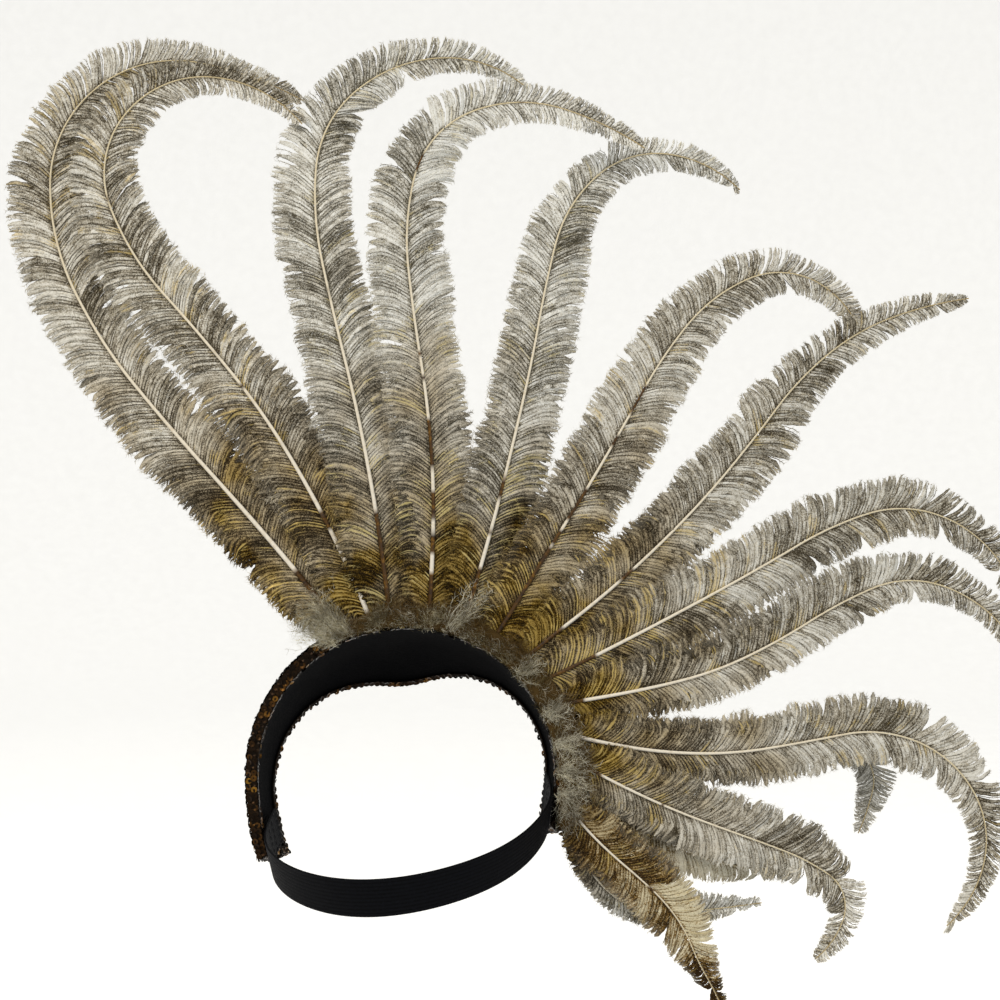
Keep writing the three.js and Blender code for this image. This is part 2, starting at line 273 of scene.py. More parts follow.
# the dome that the cap is part of; the CAD model has the same formulas
dome = dict(
    radius=0.081,  # inner face of the foam, seen from behind
    reach=0.100,  # inner face of the foam, forward to the brow
    height=0.034,
    inside=(0, 0.03, 0.034),  # a point well inside it
    sideFullness=0.55,
    tilt=-6,  # degrees, lower over the left ear
    end=114,  # degrees from the top of the cap to each ear end
    earRake=0.08,
    browAngle=64,
    earAngle=21,
    rimFace=-0.003,
)


def ringPoint(angle, radius, y):
    side = np.abs(np.sin(angle))
    full = np.where(np.cos(angle) < 0, mixed(side, 1, dome["sideFullness"]), side)
    x = np.sign(angle) * radius * full
    z = dome["height"] + radius * np.cos(angle)
    return np.stack(np.broadcast_arrays(x, y, z), axis=-1)


def domePoint(angle, forward, offset):
    radius = (dome["radius"] + offset) * np.cos(forward)
    return ringPoint(angle, radius, (dome["reach"] + offset) * np.sin(forward))


def forwardAt(y, offset):
    return np.arcsin(y / (dome["reach"] + offset))


def frontEdge(around):
    middle = np.maximum(np.cos(around), 0) ** 1.6
    return np.radians(mixed(dome["earAngle"], dome["browAngle"], middle))


def capAngle(around, share):
    return math.radians(dome["tilt"]) + around * (1 + dome["earRake"] * share)


def capPoint(around, share, inset, offset):
    # share runs from the rim to the front edge; inset stands in from either
    front = frontEdge(around) - inset / (dome["reach"] + offset)
    rim = forwardAt(dome["rimFace"] + inset, offset)
    return domePoint(capAngle(around, share), mixed(rim, front, share), offset)


def ripple(points, size, seed, waves=7):  # soft random hollows, from -1 to 1
    rng = np.random.default_rng(seed)
    total = np.zeros(points.shape[:-1])
    for _ in range(waves):
        direction = unit(rng.normal(size=3)) * rng.uniform(0.6, 1.4) * 2 * math.pi / size
        total += np.sin(points @ direction + rng.uniform(0, 2 * math.pi))
    return total / math.sqrt(waves * 2)


foam = dict(
    wall=0.003,
    inset=0.0018,
    edgeRound=0.0009,
    edgePoints=5,
    dent=0.00028,
    smallDent=0.3,  # as a share of the large ones
    dentSizes=(0.045, 0.012),
    around=130,
    forward=44,
)


def foamMaterial():
    material, tree, sockets = newMaterial("blackFoam", {"Specular IOR Level": 0.05})
    patch = noiseAt(tree, 45, 4)
    shade = colourRamp(tree, patch, [(0.3, "020203"), (0.55, "050506"), (0.8, "0b0b0d")])
    lint = rescale(tree, noiseAt(tree, 1700, 2), 0.66, 0.74)
    shade = mixColours(tree, lint, shade, linear("1c1b1a"))
    tree.links.new(shade, sockets["Base Color"])
    pores = addNode(tree, "TexVoronoi", {"Vector": addNode(tree, "TexCoord").outputs["Object"],
                                         "Scale": 1100}).outputs["Distance"]
    raised(tree, sockets, combined(tree, pores, patch), 0.00035, 0.8)
    tree.links.new(rescale(tree, patch, 0.3, 0.8, 0.85, 0.98), sockets["Roughness"])
    return material


def foamSection():  # the section's loop: inner face, round edge, outer face, round edge
    turn = np.linspace(0, math.pi, foam["edgePoints"] + 2)[1:-1]
    shares = np.linspace(0, 1, foam["forward"])
    half = foam["wall"] / 2
    edgeIn = foam["inset"] + foam["edgeRound"] * (1 - np.sin(turn))
    loop = [(s, foam["inset"] + foam["edgeRound"], 0.0) for s in shares]
    loop += [(1.0, i, half - half * math.cos(t)) for t, i in zip(turn, edgeIn)]
    loop += [(s, foam["inset"] + foam["edgeRound"], foam["wall"]) for s in shares[::-1]]
    loop += [(0.0, i, half + half * math.cos(t)) for t, i in zip(turn, edgeIn)]
    return np.array(loop)


def buildFoam():
    loop = foamSection()
    end = math.radians(dome["end"])
    around = np.linspace(-end, end, foam["around"])
    a, k = np.meshgrid(around, np.arange(len(loop)), indexing="ij")
    share, inset, offset = loop[k, 0], loop[k, 1], loop[k, 2]
    flat = capPoint(a, share, inset, offset)
    large, small = foam["dentSizes"]
    dent = foam["dent"] * (ripple(flat, large, 3) + foam["smallDent"] * ripple(flat, small, 4))
    points = capPoint(a, share, inset, offset + np.minimum(dent, foam["dent"]))
    count = len(loop)
    faces = gridFaces(foam["around"], count, closed=True)
    inner = np.arange(foam["forward"] - 1)  # the ends are strips between the two faces
    outer = 2 * foam["forward"] + foam["edgePoints"] - 1 - inner
    strip = np.stack([inner, outer, outer - 1, inner + 1], axis=-1)
    last = (foam["around"] - 1) * count
    piece = meshPiece("foam_lining", points.reshape(-1, 3),
                      [faces, strip, (strip + last)[:, ::-1]], foamMaterial(), rounded=True)
    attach(piece, "root")
    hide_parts("foam_cap")


buildFoam()
print("foam lining ready")


fabric = dict(
    under=-0.0011,  # offset of the folded edge's middle
    outer=0.0043,  # offset of the middle on the outer face
    flapUnder=-0.0018,
    thickness=0.0007,
    edge=0.0005,  # how far the middle stands in from the cap's own edges
    corner=0.0013,
    hem=0.0042,
    overhang=1.1,  # degrees past the foam
    flapLength=0.0102,
    flapSteps=16,
    flapBulge=0.0009,  # how far the flap's bend stands out at the ear end
    around=150,
    forward=36,
    cut=(0.46, 0.17),
    cutArea=0.028,
)


def wrapLine(steps=18):
    # how the fabric goes round an edge: inset and offset from the outer face to the hem
    corner, edge = fabric["corner"], fabric["edge"]
    turn = np.linspace(0, math.pi / 2, 6)
    inset = list(edge + corner * (1 - np.sin(turn)))
    offset = list(fabric["outer"] - corner * (1 - np.cos(turn)))
    inset += list(edge + corner * (1 - np.cos(turn)))
    offset += list(fabric["under"] + corner * (1 - np.sin(turn)))
    inset.append(fabric["hem"])
    offset.append(fabric["under"])
    inset, offset = np.array(inset), np.array(offset)
    run = np.concatenate([[0], np.cumsum(np.hypot(np.diff(inset), np.diff(offset)))])
    even = np.linspace(0, run[-1], steps)
    return np.interp(even, run, inset), np.interp(even, run, offset), run[-1]


wrapInset, wrapOffset, wrapLength = wrapLine()
wrapRun = np.linspace(0, wrapLength, len(wrapInset))
fabricEnd = math.radians(dome["end"] + fabric["overhang"])


def faceSurface(around, share):
    return capPoint(around, share, fabric["edge"] + fabric["corner"], fabric["outer"])


def wrapSurface(around, run, share):
    inset = np.interp(run, wrapRun, wrapInset)
    return capPoint(around, share, inset, np.interp(run, wrapRun, wrapOffset))


def flapSurface(share, run, hand):
    # the flap at an ear end goes round the foam's end and back along its inner face
    depth = fabric["outer"] - fabric["flapUnder"]
    offset = fabric["outer"] - np.clip(run, 0, depth)
    back = np.clip(run - depth, 0, None) / dome["radius"]
    bulge = np.sin(np.clip(run / depth, 0, 1) * math.pi) * fabric["flapBulge"] / dome["radius"]
    around = hand * (fabricEnd - back + bulge)
    return capPoint(around, share, fabric["edge"] + fabric["corner"], offset)


def fabricMaterial():
    material, tree, sockets = newMaterial("sequinBacking",
                                          {"Roughness": 0.85, "Specular IOR Level": 0.1})
    patch = noiseAt(tree, 300, 3)
    shade = colourRamp(tree, patch, [(0.3, "090502"), (0.6, "160e05"), (0.8, "2b1d0b")])
    tree.links.new(shade, sockets["Base Color"])
    raised(tree, sockets, noiseAt(tree, 2600, 1), 0.0002, 0.7)
    return material


def buildFabric():
    shares = np.linspace(0, 1, fabric["forward"])
    around = np.linspace(-fabricEnd, fabricEnd, fabric["around"])[:, None]
    rim = wrapSurface(around, wrapRun[::-1][None, :-1], 0.0)
    face = faceSurface(around, shares[None, :])
    front = wrapSurface(around, wrapRun[None, 1:], 1.0)
    sheet = np.concatenate([rim, face, front], axis=1)
    rows, columns = sheet.shape[:2]
    points = [sheet.reshape(-1, 3)]
    faceSets = [gridFaces(rows, columns)]
    first = rows * columns
    flapRun = np.linspace(0, fabric["flapLength"], fabric["flapSteps"])
    for hand in (-1, 1):
        flap = flapSurface(shares[None, :], flapRun[:, None], hand)
        faces = gridFaces(len(flapRun), len(shares), first=first)
        points.append(flap.reshape(-1, 3))
        faceSets.append(faces if hand > 0 else faces[:, ::-1])
        first += flap.shape[0] * flap.shape[1]
    piece = meshPiece("sequin_fabric", np.concatenate(points), faceSets, fabricMaterial(),
                      rounded=True)
    thick = piece.modifiers.new("thickness", "SOLIDIFY")
    thick.thickness = fabric["thickness"]
    thick.offset = 0
    area = sum(face.area for face in piece.data.polygons)
    print("sequin fabric area:", round(area, 5))
    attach(piece, "root")
    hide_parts("sequin_cover")
    return piece


fabricPiece = buildFabric()
print("sequin fabric ready")


sequins = dict(
    radius=0.00172,
    hole=0.0004,
    cup=0.00034,
    rowPitch=0.0027,
    spacing=0.0032,
    lift=0.00062,
    liftSpread=0.00012,
    tilt=0.2,  # as a slope, and so is overlap
    overlap=0.16,
    sizes=(0.94, 1.04),
    drift=0.003,
    paintedReflectionTones=(1.4, 2.8),  # how many discs are painted dark and how many pale, as painted reflection on one bronze
    bright=0.07,  # share of the discs painted brighter as painted glints, and how much brighter they are
    brighter=0.25,
    firstRow=0.002,  # in from the rim
    rowTurn=0.096,  # radius along which the rows are stepped forward
    arcGap=0.005,
    edgeInset=0.0018,
    edgeReach=0.104,
    frontFewer=0.25,
    wrapStart=0.7,  # rows in from the start of the folded edge
    flapRows=3,
    perFlapRow=12,
    flapStart=0.3,
    faceStep=0.004,  # small steps that find the surface's slope
    wrapStep=0.0002,
    sides=8,
    seed=11,
)


def sequinMaterial():
    material, tree, sockets = newMaterial("bronzeSequin", {"Metallic": 0.92})
    tone, wear = placeChannels(tree)[:2]
    # a disc's tone is painted reflection: dark discs are painted shade and pale ones painted
    # glints, all of one bronze
    shade = colourRamp(tree, tone, [(0.0, "060301"), (0.4, "241607"), (0.7, "5a3c14"),
                                    (0.9, "b08530"), (1.0, "f6dc8c")])
    grime = rescale(tree, noiseAt(tree, 900, 3), 0.35, 0.7, 0.0, 0.5)
    shade = mixColours(tree, grime, shade, linear("120b04"))
    tree.links.new(shade, sockets["Base Color"])
    tree.links.new(rescale(tree, wear, 0, 1, 0.2, 0.42), sockets["Roughness"])
    raised(tree, sockets, noiseAt(tree, 3200, 1), 0.00005, 0.4)
    return material


def sequinSpots():
    # rows parallel to the rim, then rows over the folded edges and the ear flaps
    spots = []
    step, spacing, nudge = sequins["rowPitch"], sequins["spacing"], sequins["wrapStep"]
    start = forwardAt(dome["rimFace"] + sequins["firstRow"], fabric["outer"])
    rim = forwardAt(dome["rimFace"] + sequins["edgeInset"], fabric["outer"])
    rows = int((math.radians(dome["browAngle"]) - start) / (step / sequins["rowTurn"])) + 1
    for k in range(rows):
        forward = start + k * step / sequins["rowTurn"]
        arc = 2 * fabricEnd * (dome["radius"] + sequins["arcGap"]) * math.cos(forward)
        around = np.arange(int(arc / spacing)) + 0.5 * (k % 2)
        around = (around * spacing / arc * 2 - 1) * fabricEnd
        front = frontEdge(around) - sequins["edgeInset"] / sequins["edgeReach"]
        share = (forward - rim) / (front - rim)
        inside = share < 1
        if inside.any():
            spots.append((faceSurface, around[inside], share[inside], sequins["faceStep"]))
    for share in (0.0, 1.0):
        for k in range(int(wrapLength / step)):
            fewer = 1 - sequins["frontFewer"] * share
            count = int(2 * fabricEnd * dome["radius"] / spacing * fewer)
            around = (np.arange(count) + 0.5 * (k % 2)) / count * 2 - 1
            run = np.full(count, (k + sequins["wrapStart"]) * step)
            surface = partial(wrapSurface, share=share)
            spots.append((surface, around * fabricEnd, run, nudge))
    perRow = sequins["perFlapRow"]
    for hand in (-1, 1):
        for k in range(sequins["flapRows"]):
            share = (np.arange(perRow) + 0.5 * (k % 2) + sequins["flapStart"]) / perRow
            run = np.full(perRow, (k + 0.5) * step)
            spots.append((partial(flapSurface, hand=hand), share, run, nudge))
    return spots


def sequinSeats(rng):  # for each disc its middle, the way out of the fabric and the way along
    centres, normals, alongs = [], [], []
    aside = sequins["faceStep"]
    for surface, u, v, nudge in sequinSpots():
        u = u + rng.normal(0, sequins["drift"], u.size)
        here = surface(u, v)
        alongU = unit(surface(u + aside, v) - surface(u - aside, v))
        alongV = unit(surface(u, v + nudge) - surface(u, v - nudge))
        normal = unit(np.cross(alongU, alongV))
        # the face looks out of the dome, and the wraps out of the foam at every side
        if surface is faceSurface:
            wayOut = here - np.array(dome["inside"])
        else:
            wayOut = here - foamMiddle(here)
        normal *= np.where(np.sum(normal * wayOut, axis=-1) < 0, -1, 1)[:, None]
        centres.append(here)
        normals.append(normal)
        alongs.append(alongU)
    return map(np.concatenate, (centres, normals, alongs))


def buildSequins():
    rng = np.random.default_rng(sequins["seed"])
    centre, normal, along = sequinSeats(rng)
    count = len(centre)
    across = np.cross(normal, along)
    slope = rng.normal(0, sequins["tilt"], (count, 2))
    slope[:, 1] += sequins["overlap"]  # each disc rides on the next
    face = unit(normal + slope[:, :1] * along + slope[:, 1:] * across)
    first = unit(along - face * np.sum(along * face, axis=-1, keepdims=True))
    second = np.cross(face, first)
    spin = rng.uniform(0, 2 * math.pi, count)
    turn = np.arange(sequins["sides"]) / sequins["sides"] * 2 * math.pi
    angle = spin[:, None] + turn[None, :]
    size = sequins["radius"] * rng.uniform(*sequins["sizes"], count)[:, None]
    lift = sequins["lift"] + rng.uniform(0, sequins["liftSpread"], count)
    centre = centre + normal * lift[:, None]

    spread = (np.cos(angle)[..., None] * first[:, None]
              + np.sin(angle)[..., None] * second[:, None])
    sunk = centre[:, None] - face[:, None] * sequins["cup"]
    rings = np.stack([sunk + spread * sequins["hole"], centre[:, None] + spread * size[..., None]],
                     axis=1)
    sides = sequins["sides"]
    base = np.arange(count)[:, None] * 2 * sides
    k = np.arange(sides)[None, :]
    nextK = (k + 1) % sides
    faces = np.stack([base + k, base + nextK, base + sides + nextK, base + sides + k], axis=-1)
    # each disc is painted darker or paler at random as painted reflection, and a few get a painted
    # glint on top
    tone = rng.beta(*sequins["paintedReflectionTones"], count)
    tone = tone + sequins["brighter"] * (rng.uniform(size=count) > 1 - sequins["bright"])
    tone = np.clip(tone, 0, 1)
    colours = np.ones((count, 2 * sides, 4))
    colours[..., 0] = tone[:, None]
    colours[..., 1] = rng.uniform(size=count)[:, None]
    piece = meshPiece("sequins", rings.reshape(-1, 3), [faces.reshape(-1, 4)], sequinMaterial(),
                      colours.reshape(-1, 4))
    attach(piece, "root")
    print("sequins:", count)
    return piece


def foamMiddle(points):
    # the nearest point on the middle of the foam, near enough to tell outside from inside
    middle = np.array([0, 0, dome["height"]])
    angle = np.arctan2(points[:, 0], points[:, 2] - middle[2])
    reach = dome["reach"] + foam["wall"] / 2
    share = np.clip(points[:, 1], 0.004, None) / reach
    forward = np.arcsin(np.clip(share, 0, 0.995))
    forward = np.minimum(forward, frontEdge(angle - math.radians(dome["tilt"])) - 0.05)
    return domePoint(angle, np.maximum(forward, 0.02), foam["wall"] / 2)


sequinPiece = buildSequins()
print("sequins ready")


strap = dict(
    width=0.019,
    wall=0.0014,
    back=0.093,
    dip=0.015,
    tuck=0.024,
    rightAngle=102,
    leftAngle=-118,
    sag=0.0006,
    clearance=0.0025,  # the folded fabric between the foam and the strap's end
    seatWall=0.0015,
    ribs=10,
    perRib=4,
    ribDepth=0.00016,
    edgeShare=0.28,  # how thick the strap is at its edges, as a share of its wall
    picks=520,  # threads across the strap's whole length
    stations=170,
    wave=0.0004,
    waves=23,
)


def strapSeat(angleInDegrees, y):  # where the tucked end lies against the foam
    gap = strap["clearance"] + strap["sag"] + strap["seatWall"] / 2
    sign = 1 if angleInDegrees < 0 else -1
    rise = sign * (strap["dip"] / strap["back"]) * (y / dome["radius"])
    return domePoint(math.radians(angleInDegrees) + rise, forwardAt(y, -gap), -gap)


tuckShare = strap["tuck"] / (2 * strap["tuck"] + math.pi * strap["back"])


def strapFrame(t):  # the strap's middle line, the way out of its face, and the way across it
    tuck = tuckShare
    turn = np.clip((t - tuck) / (1 - 2 * tuck), 0, 1) * math.pi
    tucked = strap["tuck"] * np.maximum(np.maximum(tuck - t, t - 1 + tuck), 0) / tuck
    right = strapSeat(strap["rightAngle"], np.where(t < 0.5, tucked, 0))
    left = strapSeat(strap["leftAngle"], np.where(t > 0.5, tucked, 0))
    centre = mixed(left, right, ((1 + np.cos(turn)) / 2)[:, None])
    centre[:, 1] -= strap["back"] * np.sin(turn)
    centre[:, 2] -= strap["dip"] * np.sin(turn)
    outward = np.stack([np.cos(turn), -np.sin(turn), np.zeros_like(turn)], axis=-1)
    angle = np.radians(np.where(turn < math.pi / 2, strap["rightAngle"], strap["leftAngle"]))
    wallUp = unit(ringPoint(angle * 0.98, dome["radius"], 0)
                  - ringPoint(angle * 1.02, dome["radius"], 0))
    upright = np.array([0, 0, 1.0])
    across = unit(mixed(upright, wallUp, np.abs(np.cos(turn))[:, None]))
    return centre, outward, across


def strapMaterial():
    material, tree, sockets = newMaterial("ribbedElastic",
                                          {"Roughness": 0.65, "Specular IOR Level": 0.05})
    run, rib = placeChannels(tree)[:2]
    picks = combined(tree, run, 2 * math.pi * strap["picks"], "MULTIPLY")
    picks = addNode(tree, "Math", {0: picks}, operation="SINE").outputs["Value"]
    # painted shade: the grooves between the ribs and the strap's edges are darker than the crests
    shade = colourRamp(tree, rib, [(0.1, "000001"), (0.85, "07080b")])
    thread = rescale(tree, noiseAt(tree, 700, 3), 0.45, 0.75, 0.0, 0.5)
    shade = mixColours(tree, thread, shade, linear("0e0f15"))
    tree.links.new(shade, sockets["Base Color"])
    raised(tree, sockets, combined(tree, picks, noiseAt(tree, 1500, 2)), 0.0001, 0.7)
    return material


def buildStrap():
    t = np.linspace(0, 1, strap["stations"])
    centre, outward, across = strapFrame(t)
    v = np.linspace(-1, 1, strap["ribs"] * strap["perRib"] + 1)
    ribs = np.abs(np.sin((v + 1) / 2 * strap["ribs"] * math.pi)) ** 0.7
    half = strap["wall"] / 2 - strap["ribDepth"] * (1 - ribs)
    half[[0, -1]] = strap["wall"] * strap["edgeShare"]
    sectionAcross = np.concatenate([v, v[::-1]]) * strap["width"] / 2
    sectionOut = np.concatenate([half, -half[::-1]])
    # 1 on the crests, 0 in the grooves and at the edges, for the painted shade in the grooves
    paintedRibShade = np.concatenate([ribs, ribs[::-1]])
    wave = strap["wave"] * np.sin(t * strap["waves"] + 1) * np.sin(t * math.pi)
    points = (centre[:, None] + (sectionOut[None, :] + wave[:, None])[..., None] * outward[:, None]
              + sectionAcross[None, :, None] * across[:, None])
    rows, columns = points.shape[:2]
    colours = np.ones((rows, columns, 4))
    colours[..., 0] = t[:, None]
    colours[..., 1] = paintedRibShade[None, :]
    piece = meshPiece("elastic_band", points.reshape(-1, 3), bandFaces(rows, columns),
                      strapMaterial(), colours.reshape(-1, 4), rounded=True)
    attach(piece, "root")
    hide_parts("elastic_strap")


stitches = dict(
    length=0.0024,
    pitch=0.0036,
    thickness=0.0005,
    rows=(0.04, 0.5, 0.94),  # across the strap's tucked end, as shares of the tuck
    edge=0.0085,  # from the strap's middle to the rows along its edges
    edgeRun=(0.1, 0.88),
    edgeCount=6,
    edgeHalf=0.05,
    lift=0.0001,
)


def threadMaterial():
    material, tree, sockets = newMaterial("blackThread",
                                          {"Roughness": 0.6, "Specular IOR Level": 0.2})
    shade = colourRamp(tree, noiseAt(tree, 2500, 2), [(0.3, "08080a"), (0.7, "1c1c20")])
    tree.links.new(shade, sockets["Base Color"])
    raised(tree, sockets, noiseAt(tree, 5000, 1), 0.00008, 0.8)
    return material


def capsules(starts, ends, outs, thickness):  # short round threads that arch a little
    sides = 6
    along = ends - starts
    middle = np.array([0.0, 0.12, 0.5, 0.88, 1.0])
    swell = np.array([0.25, 0.85, 1.0, 0.85, 0.25]) * thickness / 2
    line = starts[:, None] + along[:, None] * middle[None, :, None]
    line = line + outs[:, None] * (np.sin(middle * math.pi) * thickness * 0.5)[None, :, None]
    direction = unit(along)
    sideways = np.cross(direction, outs)
    turn = np.arange(sides) / sides * 2 * math.pi
    ring = (np.cos(turn)[None, None, :, None] * outs[:, None, None]
            + np.sin(turn)[None, None, :, None] * sideways[:, None, None])
    points = line[:, :, None] + ring * swell[None, :, None, None]
    count = len(starts)
    firsts = np.arange(count) * len(middle) * sides
    faces = [gridFaces(len(middle), sides, closed=True, first=first) for first in firsts]
    cap = np.array([[0, 1, 2, 3], [0, 3, 4, 5]])  # a hexagon as two quads
    for first in firsts:
        faces.append(cap[:, ::-1] + first)
        faces.append(cap + first + (len(middle) - 1) * sides)
    return points.reshape(-1, 3), np.concatenate(faces)


def buildStitches():
    starts, ends, outs = [], [], []
    edge, half = stitches["edge"], stitches["length"] / 2
    height = strap["wall"] / 2 + stitches["lift"]
    for flip in (False, True):
        for row in stitches["rows"]:
            t = np.array([row * tuckShare])
            centre, outward, across = strapFrame(1 - t if flip else t)
            lift = centre - outward * height
            for step in np.arange(-edge, edge, stitches["pitch"]):
                starts.append(lift[0] + across[0] * (step - half))
                ends.append(lift[0] + across[0] * (step + half))
                outs.append(-outward[0])
        for side in (-edge, edge):
            for share in np.linspace(*stitches["edgeRun"], stitches["edgeCount"]):
                ahead = stitches["edgeHalf"]
                t = np.array([share - ahead, share + ahead]) * tuckShare
                centre, outward, across = strapFrame(1 - t if flip else t)
                lift = centre - outward * height + across * side
                starts.append(lift[0])
                ends.append(lift[1])
                outs.append(-outward[0])
    points, faces = capsules(np.array(starts), np.array(ends), np.array(outs),
                             stitches["thickness"])
    piece = meshPiece("strap_stitches", points, [faces], threadMaterial(), rounded=True)
    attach(piece, "root")


buildStrap()
buildStitches()
print("elastic strap ready")


felt = dict(
    inner=0.0863,
    width=0.013,
    wall=0.002,
    start=-26,
    end=107,
    stations=150,
    across=13,
    edgeShare=0.45,  # how thick the felt is at its edges, as a share of its wall
    rough=0.00022,
    roughSize=0.006,
)


def feltMaterial():
    material, tree, sockets = newMaterial("darkFelt",
                                          {"Roughness": 0.96, "Specular IOR Level": 0.12})
    shade = colourRamp(tree, noiseAt(tree, 260, 5), [(0.3, "0f0d0b"), (0.6, "1e1a16"),
                                                    (0.85, "39322a")])
    tree.links.new(shade, sockets["Base Color"])
    raised(tree, sockets, noiseAt(tree, 1400, 6), 0.0005, 0.9)
    return material


def buildFelt():
    across = np.linspace(0, 1, felt["across"])
    bulge = np.ones(felt["across"])
    bulge[[0, -1]] = felt["edgeShare"]
    radius = felt["inner"] + felt["width"] * np.concatenate([across, across[::-1]])
    out = np.concatenate([bulge, -bulge[::-1]]) * felt["wall"] / 2
    angle = np.radians(np.linspace(felt["start"], felt["end"], felt["stations"]))[:, None]
    y = dome["rimFace"] + felt["wall"] / 2 + out[None, :]
    points = ringPoint(angle, radius[None, :], y)
    points[..., 1] += felt["rough"] * ripple(points, felt["roughSize"], 21)
    piece = meshPiece("felt_band", points.reshape(-1, 3), bandFaces(*points.shape[:2]),
                      feltMaterial(), rounded=True)
    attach(piece, "root")
    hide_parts("quill_band")


buildFelt()
print("felt band ready")


down = dict(
    widths=[  # angle round the rim, inner and outer edge as shares of the dome's radius
        (-31, 1.0, 1.09), (-10, 0.99, 1.15), (35, 0.985, 1.16),
        (65, 0.975, 1.19), (90, 0.99, 1.21), (108, 1.0, 1.12),
    ],
    front=-0.0066,
    wall=0.0042,
    lump=0.0009,
    lumpSize=0.008,
    stations=260,
    section=12,
    tufts=300,
    perTuft=27,
    tuftSpread=(1.3, 0.10),  # degrees round the rim, and share of the strip's width
    leans=(0.9, 0.55),  # how much tufts and single strands lean to the side
    tuftTone=(0.42, 0.34),
    strandTone=0.2,
    rise=(0.12, 0.5),
    curl=(0.1, 0.34),
    length=(0.004, 0.012),
    thickness=0.0004,
    segments=5,
    seed=5,
)


# loose downy tufts over the plumes' feet; seat, heading and fan are in degrees
wisps = dict(
    front=-0.0105,
    thickness=0.00026,
    segments=6,
    hairs=20,
    hairLength=(0.0018, 0.0048),
    hairThickness=0.7,  # as a share of the strand's
    hairSegments=3,
    rootSpread=(0.0016, 0.0005, 0.0016),
    seed=9,
    tufts=[
        dict(seat=-27, up=0.002, heading=-60, fan=15, length=0.026, strands=95, pale=0.0),
        dict(seat=-22, up=0.004, heading=-47, fan=13, length=0.031, strands=90, pale=-0.05),
        dict(seat=-9, up=0.003, heading=-24, fan=24, length=0.013, strands=20, pale=-0.25),
        dict(seat=10, up=0.003, heading=18, fan=26, length=0.012, strands=18, pale=-0.25),
        dict(seat=17, up=0.004, heading=38, fan=9, length=0.031, strands=34, pale=0.1),
        dict(seat=47, up=0.002, heading=60, fan=24, length=0.016, strands=24, pale=0.0),
        dict(seat=66, up=0.001, heading=50, fan=26, length=0.016, strands=22, pale=0.15),
        dict(seat=77, up=0.001, heading=66, fan=30, length=0.017, strands=22, pale=0.15),
        dict(seat=86, up=0.001, heading=95, fan=34, length=0.019, strands=26, pale=0.15),
        dict(seat=95, up=0.001, heading=110, fan=34, length=0.018, strands=24, pale=0.15),
    ],
)


def downEdge(angle, column):
    rows = np.array(down["widths"])
    return dome["radius"] * np.interp(angle, rows[:, 0], rows[:, column])


def downMaterial(name, dark, middle, pale):
    material, tree, sockets = newMaterial(name, {"Roughness": 0.85, "Specular IOR Level": 0.15})
    tone, outerBrownAndShade = placeChannels(tree)[:2]
    shade = colourRamp(tree, tone, [(0.1, dark), (0.5, middle), (0.95, pale)])
    patch = rescale(tree, noiseAt(tree, 110, 4), 0.4, 0.66, 0.0, 0.6)
    shade = mixColours(tree, patch, shade, linear("3b3019"))
    # mix toward dark brown on the strip's outer part: partly the down's own brown, partly painted
    # shade by the plume feet
    brownAndShade = rescale(tree, outerBrownAndShade, 0.12, 0.65, 0.0, 0.92)
    shade = mixColours(tree, brownAndShade, shade, linear("5e4720"))
    tree.links.new(shade, sockets["Base Color"])
    raised(tree, sockets, noiseAt(tree, 1900, 3), 0.0003, 0.8)
    return material


def curlyStrands(roots, directions, lengths, curls, thickness, segments, rng):
    # thin ribbons that curl as they go; returns their points and quads
    count = len(roots)
    u = np.linspace(0, 1, segments + 1)[None, :, None]
    heading = unit(directions)
    helper = unit(rng.normal(size=(count, 3)))
    first = unit(np.cross(heading, helper))
    second = np.cross(heading, first)
    phase = rng.uniform(0, 2 * math.pi, count)[:, None, None]
    turns = rng.uniform(0.5, 1.4, count)[:, None, None] * 2 * math.pi
    swing = curls[:, None, None] * u * lengths[:, None, None]
    line = (roots[:, None] + heading[:, None] * u * lengths[:, None, None]
            + swing * (np.cos(turns * u + phase) * first[:, None]
                       + np.sin(turns * u + phase) * second[:, None]))
    flat = unit(rng.normal(size=(count, 3)))[:, None]
    half = thickness / 2 * (1 - 0.8 * u)
    points = np.stack([line - flat * half, line + flat * half], axis=2)
    perStrand = (segments + 1) * 2
    base = np.arange(count)[:, None] * perStrand + 2 * np.arange(segments)[None, :]
    faces = np.stack([base, base + 1, base + 3, base + 2], axis=-1)
    return points.reshape(-1, 3), faces.reshape(-1, 4)


